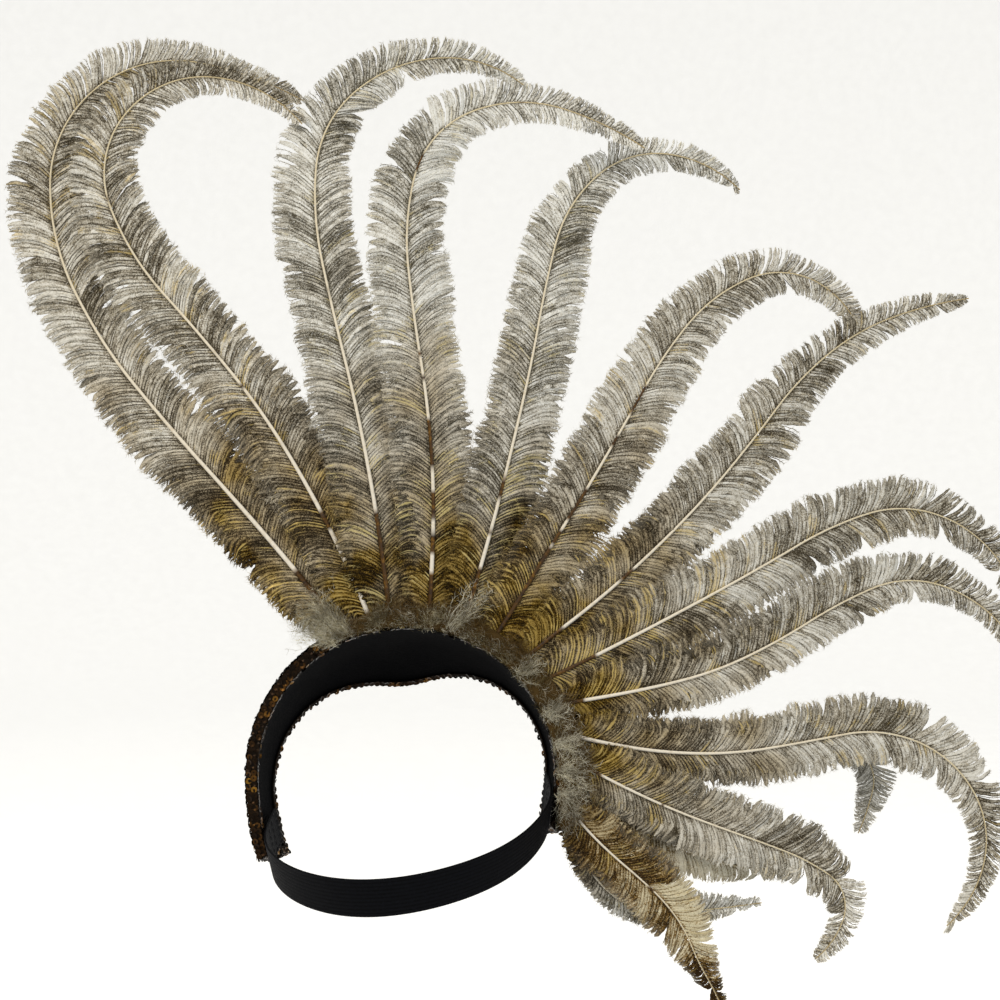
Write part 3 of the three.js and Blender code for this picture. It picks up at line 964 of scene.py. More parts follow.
def fluff(rng, tuft):
    # one downy tuft: strands that fan out, with short hairs along each
    count, perStrand = tuft["strands"], wisps["hairs"]
    root = ringPoint(np.radians(tuft["seat"]), dome["radius"] + tuft["up"], wisps["front"])
    roots = root + rng.normal(0, 1, (count, 3)) * wisps["rootSpread"]
    turn = np.radians(tuft["heading"] + rng.normal(0, tuft["fan"], count))
    heading = np.stack([np.sin(turn), rng.uniform(-0.22, -0.02, count), np.cos(turn)], axis=-1)
    lengths = tuft["length"] * rng.uniform(0.55, 1.0, count)
    steps = wisps["segments"]
    points, faces = curlyStrands(roots, heading, lengths, rng.uniform(0.05, 0.2, count),
                                 wisps["thickness"], steps, rng)
    line = points.reshape(count, steps + 1, 2, 3).mean(axis=2)
    strand = np.repeat(np.arange(count), perStrand)
    place = rng.uniform(0.1, steps - 0.01, strand.size)
    i = place.astype(int)
    part = (place - i)[:, None]
    start = line[strand, i] * (1 - part) + line[strand, i + 1] * part
    away = unit(heading)[strand] + rng.normal(0, 0.8, (strand.size, 3)) * [1, 0.4, 1]
    size = rng.uniform(*wisps["hairLength"], strand.size)
    hairSteps = wisps["hairSegments"]
    hairs, hairFaces = curlyStrands(start, away, size, rng.uniform(0.1, 0.3, strand.size),
                                    wisps["thickness"] * wisps["hairThickness"], hairSteps, rng)
    tone = np.concatenate([np.repeat(rng.uniform(0.3, 0.9, count), (steps + 1) * 2),
                           np.repeat(rng.uniform(0.45, 1.0, strand.size), (hairSteps + 1) * 2)])
    colours = np.ones((len(tone), 4))
    colours[:, 0] = np.clip(tone + tuft["pale"], 0, 1)
    colours[:, 1] = 0
    faces = np.concatenate([faces, hairFaces + len(points)])
    return np.concatenate([points, hairs]), faces, colours


def joinParts(parts):  # each part is points, faces and colours
    first, faceSets = 0, []
    for points, faces, _ in parts:
        faceSets.append(faces + first)
        first += len(points)
    return (np.concatenate([part[0] for part in parts]), faceSets,
            np.concatenate([part[2] for part in parts]))


def buildWisps():
    rng = np.random.default_rng(wisps["seed"])
    points, faceSets, colours = joinParts([fluff(rng, tuft) for tuft in wisps["tufts"]])
    piece = meshPiece("downy_wisps", points, faceSets,
                      downMaterial("paleWisps", "44391f", "a99d78", "f0ead2"), colours)
    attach(piece, "root")


def downCore(first, last):  # the woolly strip under the tufts: flat in front, round behind
    stations = np.linspace(first, last, down["stations"])
    section = np.linspace(0, math.pi, down["section"])
    k = np.concatenate([(1 - np.cos(section)) / 2, [0.75, 0.5, 0.25]])
    rear = np.concatenate([np.sin(section) ** 0.6, [0, 0, 0]])
    inner = downEdge(stations, 1)[:, None]
    outer = downEdge(stations, 2)[:, None]
    radius = mixed(inner + 0.0012, outer - 0.0018, k[None, :])
    y = down["front"] - down["wall"] * 0.62 * rear[None, :]
    core = ringPoint(np.radians(stations)[:, None], radius, y * np.ones_like(radius))
    core[..., 1] += down["lump"] * 0.5 * ripple(core, down["lumpSize"], 8)
    core[..., 1] = np.minimum(core[..., 1], down["front"])
    rows, columns = core.shape[:2]
    colours = np.ones((rows * columns, 4)) * [0.1, 0.4, 0, 1]
    return core.reshape(-1, 3), gridFaces(rows, columns, closed=True), colours


def downStrands(first, last, rng):
    tuftAngle = rng.uniform(first + 1, last - 1, down["tufts"])
    tuftAcross = rng.uniform(0.02, 0.98, down["tufts"])
    tuftLean = rng.normal(0, down["leans"][0], down["tufts"])
    tuftTone = np.clip(rng.normal(*down["tuftTone"], down["tufts"]), 0, 1)
    tuft = np.repeat(np.arange(down["tufts"]), down["perTuft"])
    count = len(tuft)
    aside, outside = down["tuftSpread"]
    angle = np.clip(tuftAngle[tuft] + rng.normal(0, aside, count), first, last)
    across = np.clip(tuftAcross[tuft] + rng.normal(0, outside, count), 0, 1)
    inner, outer = downEdge(angle, 1), downEdge(angle, 2)
    radius = mixed(inner + 0.0008, outer - 0.0015, across)
    bulge = np.sin(across * math.pi) ** 0.5
    roots = ringPoint(np.radians(angle), radius, down["front"] - down["wall"] * 0.5 * bulge)
    turn = np.radians(angle)
    outward = np.stack([np.sin(turn), np.zeros(count), np.cos(turn)], axis=-1)
    sideways = np.stack([np.cos(turn), np.zeros(count), -np.sin(turn)], axis=-1)
    lean = tuftLean[tuft] + rng.normal(0, down["leans"][1], count)
    spread = (across - 0.08) * 1.4
    heading = outward * (spread * np.cos(lean))[:, None] + sideways * np.sin(lean)[:, None]
    heading = heading + np.array([0, -1, 0]) * rng.uniform(*down["rise"], count)[:, None]
    lengths = rng.uniform(*down["length"], count) * mixed(0.35, 1.0, across)
    curls = rng.uniform(*down["curl"], count)
    points, faces = curlyStrands(roots, heading, lengths, curls, down["thickness"],
                                 down["segments"], rng)
    pale = smooth(angle, 50, 85) * 0.3 + smooth(-angle, 0, 25) * 0.25
    tone = np.clip(tuftTone[tuft] + rng.normal(0, down["strandTone"], count) + pale, 0, 1)
    perStrand = (down["segments"] + 1) * 2
    colours = np.ones((count, perStrand, 4))
    colours[..., 0] = tone[:, None] * np.linspace(0.75, 1.1, perStrand)[None, :]
    # the outer part of the strip: partly its own brown, partly painted shade by the plume feet
    brownAndShade = across + rng.normal(0, 0.22, count) - smooth(angle, 60, 90) * 0.2
    colours[..., 1] = np.clip(brownAndShade, 0, 1)[:, None]
    print("down strands:", count)
    return points, faces, colours.reshape(-1, 4)


def buildDown():
    rng = np.random.default_rng(down["seed"])
    first, last = down["widths"][0][0], down["widths"][-1][0]
    points, faceSets, colours = joinParts([downCore(first, last), downStrands(first, last, rng)])
    piece = meshPiece("down_fringe", points, faceSets,
                      downMaterial("greyDown", "261c0a", "8f8259", "f0ebd4"), colours)
    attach(piece, "root")
    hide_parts("down_trim")


buildDown()
buildWisps()
print("down trim ready")


# One row for each plume from the wearer's left, as in the CAD model.
#   seat      place of the root on the rim, in degrees
#   headings  direction of the shaft at the root and at each eighth of its length
#   length    as a share of the longest plume
#   reach     of the left and right vane, as shares of the widest
#   lean      how far the root points forward, and how much more the tip does
#   gilt      share of the shaft that is gilded at its foot, and how much of the rest has patches
#   dye       the plume's colours; far plumes sit on the front of the felt band
#   full      the vane hardly narrows on its way up
#   white     how much paler some locks of the left and right vane are than the rest
#   darkTip   how much darker the tip is
plumes = [
    dict(seat=-22, headings=(-37, -40, -42, -39, -26, 0, 50, 100, 118), length=1,
         reach=(1, 0.9), lean=(0, 14), gilt=(0.10, 0.0), dye="gilded"),
    dict(seat=-12, headings=(-20, -26, -31, -39, -42, -21, 40, 96, 140), length=0.9,
         reach=(0.92, 0.95), lean=(0, 2), gilt=(0.02, 0.3), dye="gilded"),
    dict(seat=-5.5, headings=(-6, -8, -11, -14, -12, 4, 50, 86, 128), length=0.84,
         reach=(1, 0.85), lean=(0, 14), gilt=(0.16, 0.05), dye="silvered"),
    dict(seat=8.5, headings=(4, 2, -4, -9, -6, 14, 70, 108, 125), length=0.815,
         reach=(0.9, 0.92), lean=(0, -10), gilt=(0.06, 0.66), dye="silvered"),
    dict(seat=21, headings=(16, 16, 14, 13, 10, 14, 48, 98, 134), length=0.73,
         reach=(0.8, 0.92), lean=(1, 6), gilt=(0.11, 0.35), dye="silvered"),
    dict(seat=32, headings=(33, 31, 32, 30, 29, 39, 66, 120, 164), length=0.69,
         reach=(0.88, 0.92), lean=(0, 6), gilt=(0.10, 0.6), dye="gilded"),
    dict(seat=44, headings=(50, 52, 48, 44, 39, 36, 50, 70, 82), length=0.675,
         reach=(0.85, 0.9), lean=(1, -8), gilt=(0.10, 0.15), dye="gilded"),
    dict(seat=53, headings=(67, 63, 62, 61, 59, 72, 110, 142, 168), length=0.69,
         reach=(0.88, 0.85), lean=(0, 8), gilt=(0.12, 0.1), dye="gilded"),
    dict(seat=62, headings=(82, 80, 76, 64, 57, 66, 108, 138, 156), length=0.645,
         reach=(0.88, 0.68), lean=(1, -6), gilt=(0.08, 0.0), dye="gilded"),
    dict(seat=71.5, headings=(106, 100, 91, 80, 78, 112, 150, 194, 232), length=0.675,
         reach=(0.84, 0.8), lean=(0, -12), gilt=(0.05, 0.05), dye="gilded"),
    dict(seat=74, headings=(99, 98, 95, 90, 86, 88, 122, 190, 200), length=0.46,
         reach=(0.58, 0.58), lean=(3, 10), gilt=(0.05, 0.0), dye="pale", far=True, full=True),
    dict(seat=79, headings=(123, 118, 115, 111, 109, 110, 124, 200, 236), length=0.455,
         reach=(0.92, 0.84), lean=(-1, -12), gilt=(0.06, 0.2), dye="gilded"),
    dict(seat=88, headings=(130, 129, 128, 124, 118, 110, 102, 94, 86), length=0.305,
         reach=(0.62, 0.62), lean=(3, 4), gilt=(0.1, 0.2), dye="golden", far=True,
         white=(0, 0.26)),
    dict(seat=96, headings=(146, 140, 134, 130, 133, 144, 158, 150, 156), length=0.31,
         reach=(0.8, 0.76), lean=(-1, -8), gilt=(0.12, 0.3), dye="bronze", white=(0.36, 0),
         darkTip=1),
    dict(seat=104, headings=(168, 158, 148, 130, 107, 90, 86, 84, 84), length=0.29,
         reach=(0.66, 0.4), lean=(3, 4), gilt=(0.2, 0.3), dye="silvered", far=True),
]
shaft = dict(
    longest=0.466,
    root=0.0015,
    tip=0.00035,
    taper=1.7,
    finest=0.4,
    steps=120,  # as the CAD model walks along it
    stations=150,
    sides=8,
    bareQuill=0.019,
    rim=0.086,
    inset=0.0045,
    lie=0.0018,
    bandWall=0.002,
    flatness=0.8,
    giltPatches=75,  # along the longest plume
    seed=100,
)
vane = dict(
    widest=0.024,
    twist=9,  # degrees
    ramp=0.036,  # length over which the vane opens
    rampLead=0.3,
    narrow=(0.55, 0.85, 0.42),  # where the vane narrows, and the share it loses
    tipShare=0.22,
    camber=0.03,
    start=0.004,
    pitch=0.00095,  # from barb to barb
    segments=8,
    rise=(1.06, 0.95),  # how steeply barbs leave the shaft, near the root and the tip
    bend=(0.66, 0.42),  # how far they bend outward
    web=(0.0006, 0.0021, 0.0008),  # least half width of a web, and the most, low and high up
    meet=0.58,  # share of the way to the next wide barb that a web spreads
    thin=0.0002,  # half the width of the thin barb between two wide ones, painted dark as shade in the gap
    rib=0.00016,
    fluff=(-0.002, 0.022, 0.92),  # where the fluff at the foot opens, and its share of the reach
    fuller=(1.08, 0.97),  # barbs are longer than the mean low on the plume, shorter high up
    locks=(0.014, 0.048),
    wisps=(0.0025, 0.008),
    underEnd=0.13,  # how far up the plume the second coat grows
    fuzzPitch=0.00105,
    fuzz=(0.0027, 0.0016),  # length low on the plume and near its tip
    fuzzWidth=0.00036,
    fuzzSizes=(0.6, 1.2),
    fuzzWidths=(0.7, 1.25),
    fuzzTilt=0.6,
    fuzzLean=48,  # degrees from the barb
    fuzzLeanSpread=0.22,
    pitchSpread=0.16,
    tipGap=0.0015,
    missing=0.03,
    underReach=0.9,
    reachSpread=((0.90, 1.03), (0.94, 1.02), (0.95, 1.03)),  # of locks, wisps and single barbs
    wispPull=0.16,
    short=0.04,  # share of broken barbs, and how long they still are
    shortReach=(0.55, 0.9),
    least=0.0012,
    pulls=(0.02, 0.07, 0.2),  # how far locks are pulled together, and how many of each
    pullShares=(0.5, 0.33, 0.17),
    lifts=(0.0011, 0.0007, 0.0004),  # of locks, wisps and single barbs off the vane
    layers=(0.0002, 0.0004),  # how far wide and thin barbs lie off the middle
    swap=0.22,  # share of the barbs that lie on the far side
    underBend=0.3,
    underLift=0.0008,
    crimp=0.00016,
    waver=0.00014,
    fullNarrow=0.1,
)
barbTones = dict(
    middle=0.54,
    spread=(0.13, 0.09, 0.10),  # of locks, wisps and single barbs
    paler=0.08,  # toward the tip
    # the second coat under the foot is painted darker, as painted shade beneath the main vane
    under=-0.22,
    high=(-0.06, 0.18, -0.06),  # added over a barb's two edges and its middle, high on the plume: partly the barb's own two-tone, partly painted shade at the edges and a painted highlight along the middle
    low=(-0.28, 0.24, -0.28),  # and low on it
    # thin barbs are painted darker, as painted shade in the gaps between the wide barbs
    thin=-0.38,
    # painted shade on each barb's first bit, where it leaves the shaft
    foot=-0.55,
    cloud=0.09,
    cloudSize=0.009,
    grain=0.12,
    glints=(0.3, 0.2, 0.5),  # of locks, wisps and single barbs
    thinGlint=0.6,
    glintHigh=(-0.5, 0, -0.5),
    glintLow=(-0.6, 0.16, -0.6),
)
dyes = dict(
    gilded=dict(low=("140b00", "57400b", "a68b47"), high=("423a2a", "a9a08c", "e6e2d5"),
                gold="c2a964"),
    silvered=dict(low=("120a01", "55400f", "a58b4c"), high=("504a3a", "bcb6a6", "eeece2"),
                  gold="c9b87c"),
    pale=dict(low=("4a4232", "8d846e", "c6c0ae"), high=("6a6558", "b4afa0", "e5e1d6"),
              gold="bfae80"),
    bronze=dict(low=("1c1104", "5f451a", "a88c52"), high=("2a1d0c", "8a6c38", "ddd2b0"),
                gold="b39a58"),
    golden=dict(low=("1c1104", "66491a", "b0935a"), high=("2c2010", "8f7b52", "e4ddc6"),
                gold="b8a060"),
)


def plumeHeading(plume, share):
    heading = np.radians(np.interp(share * 8, np.arange(9), plume["headings"]))
    lean = np.radians(plume["lean"][0] + plume["lean"][1] * share ** 2)
    return np.stack([np.sin(heading) * np.cos(lean), np.sin(lean),
                     np.cos(heading) * np.cos(lean)], axis=-1)


def plumeLine(plume):
    seat = np.array(math.radians(plume["seat"]))
    rimFace, lie = dome["rimFace"], shaft["lie"]
    if plume.get("far"):
        root = ringPoint(seat, shaft["rim"] + lie, rimFace + shaft["bandWall"] + lie)
    else:
        root = ringPoint(seat, shaft["rim"] - shaft["inset"], rimFace - lie)
    middles = (np.arange(shaft["steps"]) + 0.5) / shaft["steps"]
    step = plume["length"] * shaft["longest"] / shaft["steps"]
    walked = np.cumsum(plumeHeading(plume, middles) * step, axis=0)
    return np.vstack([root, root + walked])


def shaftRadius(plume, share):  # a shorter plume has a finer shaft
    root = shaft["root"] * mixed(shaft["finest"], 1, plume["length"])
    return mixed(shaft["tip"], root, (1 - share) ** shaft["taper"])


def plumeFrame(plume, line, share):
    # middle of the shaft, and the directions ahead, to the right and out of the back face
    along = np.arange(shaft["steps"] + 1) / shaft["steps"]
    centre = np.stack([np.interp(share, along, line[:, i]) for i in range(3)], axis=-1)
    ahead = plumeHeading(plume, share)
    face = unit(np.array([0, -1.0, 0]) + ahead * ahead[..., 1:2])
    twist = math.radians(vane["twist"]) * smooth(share, 0, vane["ramp"] / shaft["longest"])
    sideways = np.cross(ahead, face)
    face = face * np.cos(twist)[..., None] + sideways * np.sin(twist)[..., None]
    return centre, ahead, np.cross(ahead, face), face


def vaneShape(plume, share):
    along = share * plume["length"] * shaft["longest"] - shaft["bareQuill"]
    opened = smooth(along, -vane["rampLead"] * vane["ramp"], vane["ramp"])
    start, end, loss = vane["narrow"]
    loss = vane["fullNarrow"] if plume.get("full") else loss
    closed = np.sqrt(np.clip((1 - share) / vane["tipShare"], 0, 1))
    foot = share * plume["length"] * shaft["longest"]
    fluff = vane["fluff"][2] * smooth(foot, vane["fluff"][0], vane["fluff"][1])
    return np.maximum(opened, fluff) * (1 - loss * smooth(share, start, end)) * closed


def lockOf(places, widths, rng):  # the lock that each barb belongs to, and that lock's middle
    cuts = places[0] + np.cumsum(rng.uniform(*widths, int(0.5 / widths[0])))
    cuts = np.concatenate([[places[0] - widths[0] / 2], cuts])
    index = np.searchsorted(cuts, places) - 1
    index = np.clip(index, 0, len(cuts) - 2)
    return index, (cuts[index] + cuts[index + 1]) / 2


def barbRoots(length, rng, under):
    # places along the shaft that barbs grow from
    end = min(vane["underEnd"], 0.5 * length) if under else length - vane["tipGap"]
    pitch = vane["pitch"] * (2 if under else 1)
    root = np.arange(vane["start"], end, pitch)
    root = root + rng.normal(0, pitch * vane["pitchSpread"], root.size)
    return np.sort(root[rng.uniform(size=root.size) > vane["missing"]])


def toneAndGlint(lock, wisp, share, white, rng):
    locks, wisps, count = lock.max() + 1, wisp.max() + 1, share.size
    lockTone = rng.normal(size=locks)
    ofLocks, ofWisps, ofBarbs = barbTones["spread"]
    tone = (barbTones["middle"] + ofLocks * lockTone[lock] + ofWisps * rng.normal(size=wisps)[wisp]
            + ofBarbs * rng.normal(size=count) + barbTones["paler"] * smooth(share, 0.55, 0.9))
    tone = tone + white * (lockTone > 0)[lock] * smooth(share, 0.4, 0.5)
    ofLocks, ofWisps, ofBarbs = barbTones["glints"]
    glint = (rng.uniform(size=locks)[lock] * ofLocks + rng.uniform(size=wisps)[wisp] * ofWisps
             + rng.uniform(size=count) * ofBarbs)
    return tone, glint


def growBarbs(plume, line, hand, rng, under=False):
    # hand is -1 for the left vane and 1 for the right; under is the sparse coat below the foot
    length = plume["length"] * shaft["longest"]
    root = barbRoots(length, rng, under)
    share = np.clip(root / length, 0, 1)
    lock, lockMiddle = lockOf(root, vane["locks"], rng)
    wisp, wispMiddle = lockOf(root, vane["wisps"], rng)
    locks, wisps, count = lock.max() + 1, wisp.max() + 1, root.size
    vaneSide = 0 if hand < 0 else 1
    reach = vane["widest"] * plume["reach"][vaneSide] * vaneShape(plume, share)
    reach = reach * mixed(vane["fuller"][0], vane["fuller"][1], smooth(share, 0.35, 0.75))
    ofLocks, ofWisps, ofBarbs = vane["reachSpread"]
    reach = reach * (vane["underReach"] if under else 1) * rng.uniform(*ofLocks, locks)[lock]
    reach = reach * rng.uniform(*ofWisps, wisps)[wisp]
    reach = np.maximum(reach * rng.uniform(*ofBarbs, count), vane["least"])
    short = rng.uniform(size=count) < vane["short"]
    reach = np.where(short, reach * rng.uniform(*vane["shortReach"], count), reach)

    loose = smooth(share, 0.35, 0.7)
    lockPull = rng.choice(vane["pulls"], locks, p=vane["pullShares"])[lock]
    lockPull = lockPull * (0.1 + 1.5 * loose)
    wispPull = rng.uniform(0.0, vane["wispPull"], wisps)[wisp] * (0.25 + 1.6 * loose)
    lockLift, wispLift, barbLift = (rng.normal(0, size, number) for size, number
                                    in zip(vane["lifts"], (locks, wisps, count)))
    lift = lockLift[lock] + wispLift[wisp] + barbLift
    thin = np.arange(count) % 2 > (1 if under else 0)
    layer = rng.choice([-1, 1], count, p=[vane["swap"], 1 - vane["swap"]])
    layer = layer * np.where(thin, vane["layers"][1], vane["layers"][0])

    centre, ahead, side, face = plumeFrame(plume, line, share)
    radius = shaftRadius(plume, share)
    u = np.linspace(0, 1, vane["segments"] + 1)[None, :]
    across = radius[:, None] * 0.55 + reach[:, None] * (u - 0.05 * u * u)
    rise = mixed(vane["rise"][0], vane["rise"][1], share) + rng.normal(0, 0.04, count)
    bend = mixed(vane["bend"][0], vane["bend"][1], share) + rng.normal(0, 0.05, wisps)[wisp]
    if under:
        bend = bend + vane["underBend"]
    forward = reach[:, None] * (rise[:, None] * u - bend[:, None] * u * u)
    forward = forward + ((lockPull * (lockMiddle - root))[:, None] * u ** 1.7
                         + (wispPull * (wispMiddle - root))[:, None] * u ** 2.2)
    crimp = rng.normal(0, vane["crimp"], (count, u.size)) * np.minimum(u * 3, 1)
    waver = rng.normal(0, vane["waver"], (count, u.size)) * np.minimum(u * 3, 1)
    apart = layer - (vane["underLift"] if under else 0)
    out = (-vane["camber"] * reach[:, None] * u + apart[:, None] * np.minimum(4 * u, 1)
           + lift[:, None] * u ** 1.8 + waver)
    points = (centre[:, None] + side[:, None] * (hand * across)[..., None]
              + ahead[:, None] * (forward + crimp)[..., None] + face[:, None] * out[..., None])
    white = plume.get("white", (0, 0))[vaneSide]
    tone, glint = toneAndGlint(lock, wisp, share, white, rng)
    tone = tone - plume.get("darkTip", 0) * smooth(share, 0.72, 0.86)
    # painted shade on the coat under the main vane
    if under:
        tone = tone + barbTones["under"]
    glint = np.where(thin, glint * barbTones["thinGlint"], glint)
    return dict(points=points, face=face, share=share, reach=reach, tone=tone, thin=thin,
                glint=glint)


def webWidths(points, flat, share, thin):
    # each wide barb's web spreads toward its neighbours, unless the vane has split there
    count, rings = points.shape[:2]
    widths = np.full((2, count, rings), vane["thin"])
    wide = np.flatnonzero(~thin)
    apart = np.abs(np.sum((points[wide[1:]] - points[wide[:-1]]) * flat[wide[:-1]], axis=-1))
    apart = np.concatenate([apart[:1], apart, apart[-1:]])
    least, low, high = vane["web"]
    most = mixed(low, high, smooth(share[wide], 0.45, 0.85))[:, None]
    for side in (0, 1):
        widths[side, wide] = np.clip(apart[side:len(wide) + side] * vane["meet"], least, most)
    return widths


def barbRibbons(barbs, rng):
    points, share, thin = barbs["points"], barbs["share"], barbs["thin"]
    count, rings = points.shape[:2]
    u = np.linspace(0, 1, rings)
    tangent = unit(np.gradient(points, axis=1))
    flat = unit(np.cross(barbs["face"][:, None], tangent))
    left, right = webWidths(points, flat, share, thin) * (1 - 0.72 * u ** 8)
    roll = rng.normal(0, 0.16, count)[:, None, None]
    flat = flat * np.cos(roll) + barbs["face"][:, None] * np.sin(roll)
    left = left * rng.uniform(0.8, 1.15, (count, rings))
    right = right * rng.uniform(0.8, 1.15, (count, rings))
    if np.sum((points[-1] - points[0]) * flat[0]) < 0:  # the left side is toward the next barb
        left, right = right, left
    rib = points + barbs["face"][:, None] * vane["rib"]
    rows = np.stack([points - flat * left[..., None], rib, points + flat * right[..., None]],
                    axis=2)
    base = np.arange(count)[:, None] * rings * 3 + 3 * np.arange(rings - 1)[None, :]
    faces = np.concatenate([np.stack([base + k, base + k + 1, base + k + 4, base + k + 3], axis=-1)
                            for k in (0, 1)]).reshape(-1, 4)
    colours = np.empty((count, rings, 3, 4))
    colours[..., 0] = share[:, None, None]
    colours[..., 1] = u[None, :, None]
    low = 1 - smooth(share, 0.12, 0.48)[:, None, None]
    # across each barb: painted shade on its two edges and a painted highlight along its middle,
    # over its own two-tone
    across = mixed(np.array(barbTones["high"]), np.array(barbTones["low"]), low)
    # thin barbs take painted shade all across
    across = np.where(thin[:, None, None], barbTones["thin"], across)
    # painted shade along the shaft, on the foot of every barb
    foot = barbTones["foot"] * (u < 0.07)[None, :, None]
    cloud = barbTones["cloud"] * ripple(points, barbTones["cloudSize"], 12)[..., None]
    grain = rng.normal(0, barbTones["grain"], (count, rings, 1))
    colours[..., 2] = np.clip(barbs["tone"][:, None, None] + across + foot + cloud + grain, 0, 1)
    glint = mixed(np.array(barbTones["glintHigh"]), np.array(barbTones["glintLow"]), low)
    colours[..., 3] = barbs["glint"][:, None, None] + glint
    return rows.reshape(-1, 3), faces, np.clip(colours, 0, 1).reshape(-1, 4)


def barbFuzz(barbs, rng):
    # barbules: slim triangles to both sides of each barb
    points, share, reach = barbs["points"], barbs["share"], barbs["reach"]
    rings = points.shape[1]
    perBarb = np.maximum((reach / vane["fuzzPitch"]).astype(int), 1) * 2
    barb = np.repeat(np.arange(len(reach)), perBarb)
    total = len(barb)
    u = 1 - rng.uniform(size=total) * 0.97
    side = np.where(np.arange(total) % 2, 1.0, -1.0)
    place = np.clip(u * (rings - 1), 0, rings - 1.001)
    i = place.astype(int)
    part = (place - i)[:, None]
    start, end = points[barb, i], points[barb, i + 1]
    here = start + (end - start) * part
    tangent = unit(end - start)
    face = barbs["face"][barb]
    sideways = np.cross(face, tangent)
    tilt = rng.normal(0, vane["fuzzTilt"], total)[:, None]
    lean = rng.normal(math.radians(vane["fuzzLean"]), vane["fuzzLeanSpread"], total)[:, None]
    direction = (tangent * np.cos(lean)
                 + (sideways * side[:, None] * np.cos(tilt) + face * np.sin(tilt)) * np.sin(lean))
    length = mixed(vane["fuzz"][0], vane["fuzz"][1], smooth(share, 0.35, 0.85))[barb]
    length = length * mixed(0.55, 1.0, smooth(u, 0.05, 0.45))
    length = length * rng.uniform(*vane["fuzzSizes"], total)
    width = vane["fuzzWidth"] * rng.uniform(*vane["fuzzWidths"], total)
    half = tangent * (width / 2)[:, None]
    triangles = np.stack([here - half, here + half, here + direction * length[:, None]], axis=1)
    faces = np.arange(3 * total).reshape(-1, 3)
    colours = np.empty((total, 3, 4))
    colours[..., 0] = share[barb][:, None]
    colours[..., 1] = u[:, None]
    tone = barbs["tone"][barb] + rng.normal(0, 0.2, total) + 0.08
    colours[..., 2] = np.clip(tone, 0, 1)[:, None]
    colours[..., 3] = np.clip(barbs["glint"][barb] + rng.normal(0, 0.08, total), 0, 1)[:, None]
    return triangles.reshape(-1, 3), faces, colours.reshape(-1, 4)


def shaftTube(plume, line, rng):
    share = np.linspace(0, 1, shaft["stations"])
    centre, _, side, face = plumeFrame(plume, line, share)
    radius = shaftRadius(plume, share)[:, None, None]
    turn = np.arange(shaft["sides"]) / shaft["sides"] * 2 * math.pi
    ring = (np.cos(turn)[None, :, None] * side[:, None]
            + shaft["flatness"] * np.sin(turn)[None, :, None] * face[:, None])
    points = centre[:, None] + ring * radius
    faces = gridFaces(shaft["stations"], shaft["sides"], closed=True)
    # gilding lies on the lower shaft in patches, with the cream quill between them
    knots = rng.uniform(size=int(plume["length"] * shaft["giltPatches"]))
    patch = np.interp(share, np.linspace(0, 1, knots.size), knots)
    foot, patches = plume["gilt"]
    covered = patches * (1 - 0.7 * smooth(share, 0.2, 0.45)) + smooth(foot - share, -0.01, 0.01)
    painted = smooth(covered - patch, -0.03, 0.05)
    colours = np.ones((shaft["stations"], shaft["sides"], 4))
    colours[..., 0] = share[:, None]
    colours[..., 1] = painted[:, None]
    return points.reshape(-1, 3), faces, colours.reshape(-1, 4)


def featherMaterial(name, dye):
    material, tree, sockets = newMaterial(name, {"Specular IOR Level": 0.06})
    share, out, tone, glint = placeChannels(tree)
    speck = rescale(tree, noiseAt(tree, 1700, 2), 0.32, 0.68, -0.32, 0.32)
    tone = combined(tree, tone, speck)
    stops = (0.12, 0.5, 0.92)
    low = colourRamp(tree, tone, list(zip(stops, dye["low"])))
    high = colourRamp(tree, tone, list(zip(stops, dye["high"])))
    cloud = rescale(tree, noiseAt(tree, 28, 3), 0.35, 0.65, -0.12, 0.12)
    faded = combined(tree, share, cloud)
    shade = mixColours(tree, rescale(tree, faded, 0.07, 0.42), low, high)
    # outer ends of the barbs go pale grey: partly their own paler colour, partly painted light
    # showing through the thin ends
    edge = rescale(tree, out, 0.6, 1.0, 0.0, 0.34)
    edge = combined(tree, edge, rescale(tree, share, 0.08, 0.4), "MULTIPLY")
    shade = mixColours(tree, edge, shade, linear("b5ad9a"))
    sparkle = rescale(tree, noiseAt(tree, 90, 4), 0.32, 0.68, -0.4, 0.34)
    gold = rescale(tree, combined(tree, glint, sparkle), 0.64, 0.86)
    gold = combined(tree, gold, rescale(tree, share, 0.1, 0.9, 0.72, 0.3), "MULTIPLY")
    shade = mixColours(tree, gold, shade, linear(dye["gold"]))
    tree.links.new(shade, sockets["Base Color"])
    tree.links.new(rescale(tree, gold, 0, 1, 0.0, 0.4), sockets["Metallic"])
    tree.links.new(rescale(tree, gold, 0, 1, 0.55, 0.34), sockets["Roughness"])
    return material


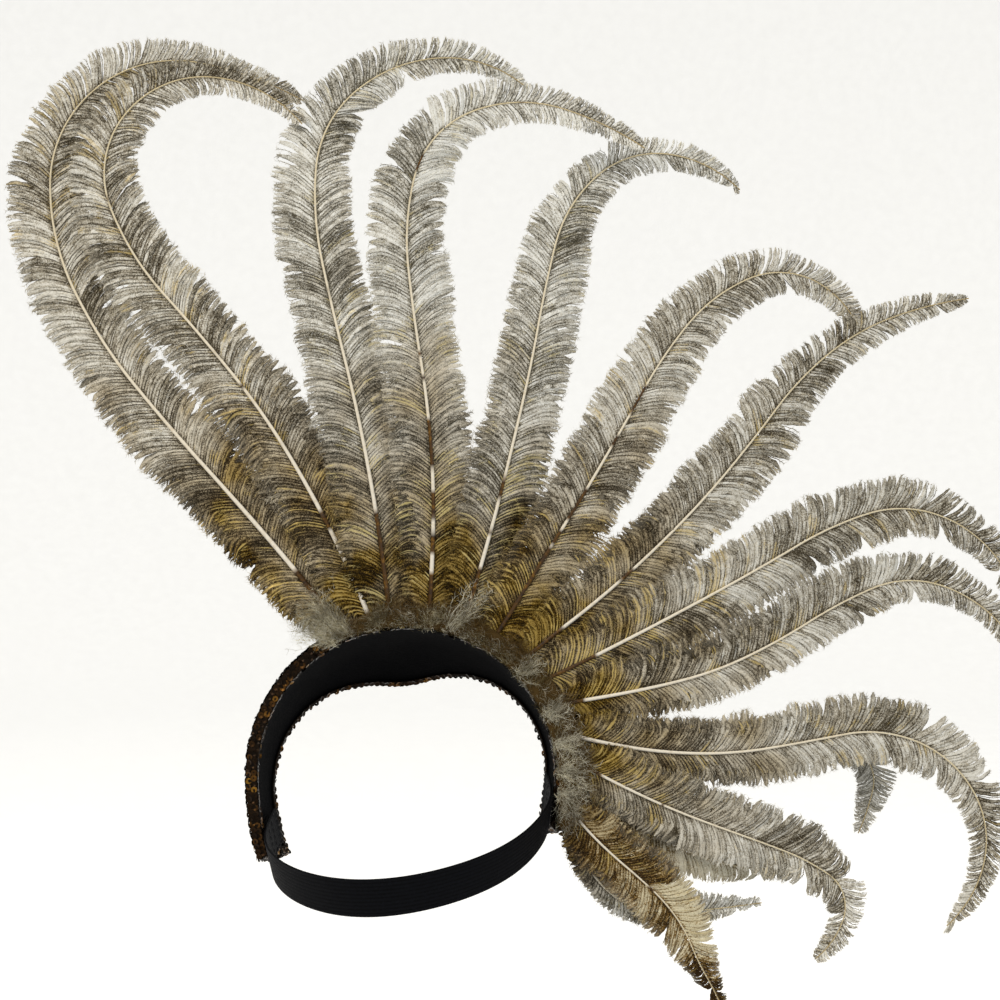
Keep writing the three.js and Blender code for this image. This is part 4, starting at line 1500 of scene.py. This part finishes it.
def shaftMaterial():
    material, tree, sockets = newMaterial("quill", {"Roughness": 0.45, "Specular IOR Level": 0.25})
    share, painted = placeChannels(tree)[:2]
    grain = noiseAt(tree, 420, 3)
    bare = colourRamp(tree, share, [(0.0, "f3ead8"), (0.45, "ece0c6"), (0.75, "d9caa4"),
                                    (1.0, "ab9668")])
    bare = mixColours(tree, rescale(tree, grain, 0.5, 0.75, 0.0, 0.3), bare, linear("b89a63"))
    gilt = colourRamp(tree, grain, [(0.3, "241502"), (0.55, "4d3206"), (0.8, "8a6114")])
    shade = mixColours(tree, painted, bare, gilt)
    tree.links.new(shade, sockets["Base Color"])
    raised(tree, sockets, grain, 0.00008, 0.5)
    return material


def buildPlume(number, plume, materials, quill):
    rng = np.random.default_rng(shaft["seed"] + number)
    line = plumeLine(plume)
    parts = [shaftTube(plume, line, rng)]
    hands = [0.5 * np.ones(len(parts[0][0]))]
    for hand in (-1, 1):
        barbs = growBarbs(plume, line, hand, rng)
        under = growBarbs(plume, line, hand, rng, under=True)
        for part in (barbRibbons(barbs, rng), barbFuzz(barbs, rng), barbRibbons(under, rng)):
            parts.append(part)
            hands.append(0.5 + hand * 0.03 + hand * 0.44 * part[2][:, 1])
    points, faceSets, colours = joinParts(parts)
    uvs = np.stack([0.02 + 0.96 * colours[:, 0], np.concatenate(hands)], axis=-1)
    name = f"ostrich_plume_{number:02d}"
    piece = meshPiece(name, points, faceSets, quill, colours, uvs)
    piece.data.materials.append(materials[plume["dye"]])
    index = np.ones(len(piece.data.polygons), np.int32)
    index[:len(faceSets[0])] = 0
    piece.data.polygons.foreach_set("material_index", index)
    smoothFaces = np.zeros(len(index), bool)
    smoothFaces[:len(faceSets[0])] = True
    piece.data.polygons.foreach_set("use_smooth", smoothFaces)
    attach(piece, "root")
    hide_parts(f"plume_{number:02d}")
    return sum(len(faces) * (faces.shape[1] - 2) for faces in faceSets)


def buildPlumes():
    materials = {name: featherMaterial(name + "Ostrich", dye) for name, dye in dyes.items()}
    quill = shaftMaterial()
    total = 0
    for number, plume in enumerate(plumes, 1):
        total += buildPlume(number, plume, materials, quill)
    print("plumes ready:", total, "triangles")


buildPlumes()


bpy.context.view_layer.update()
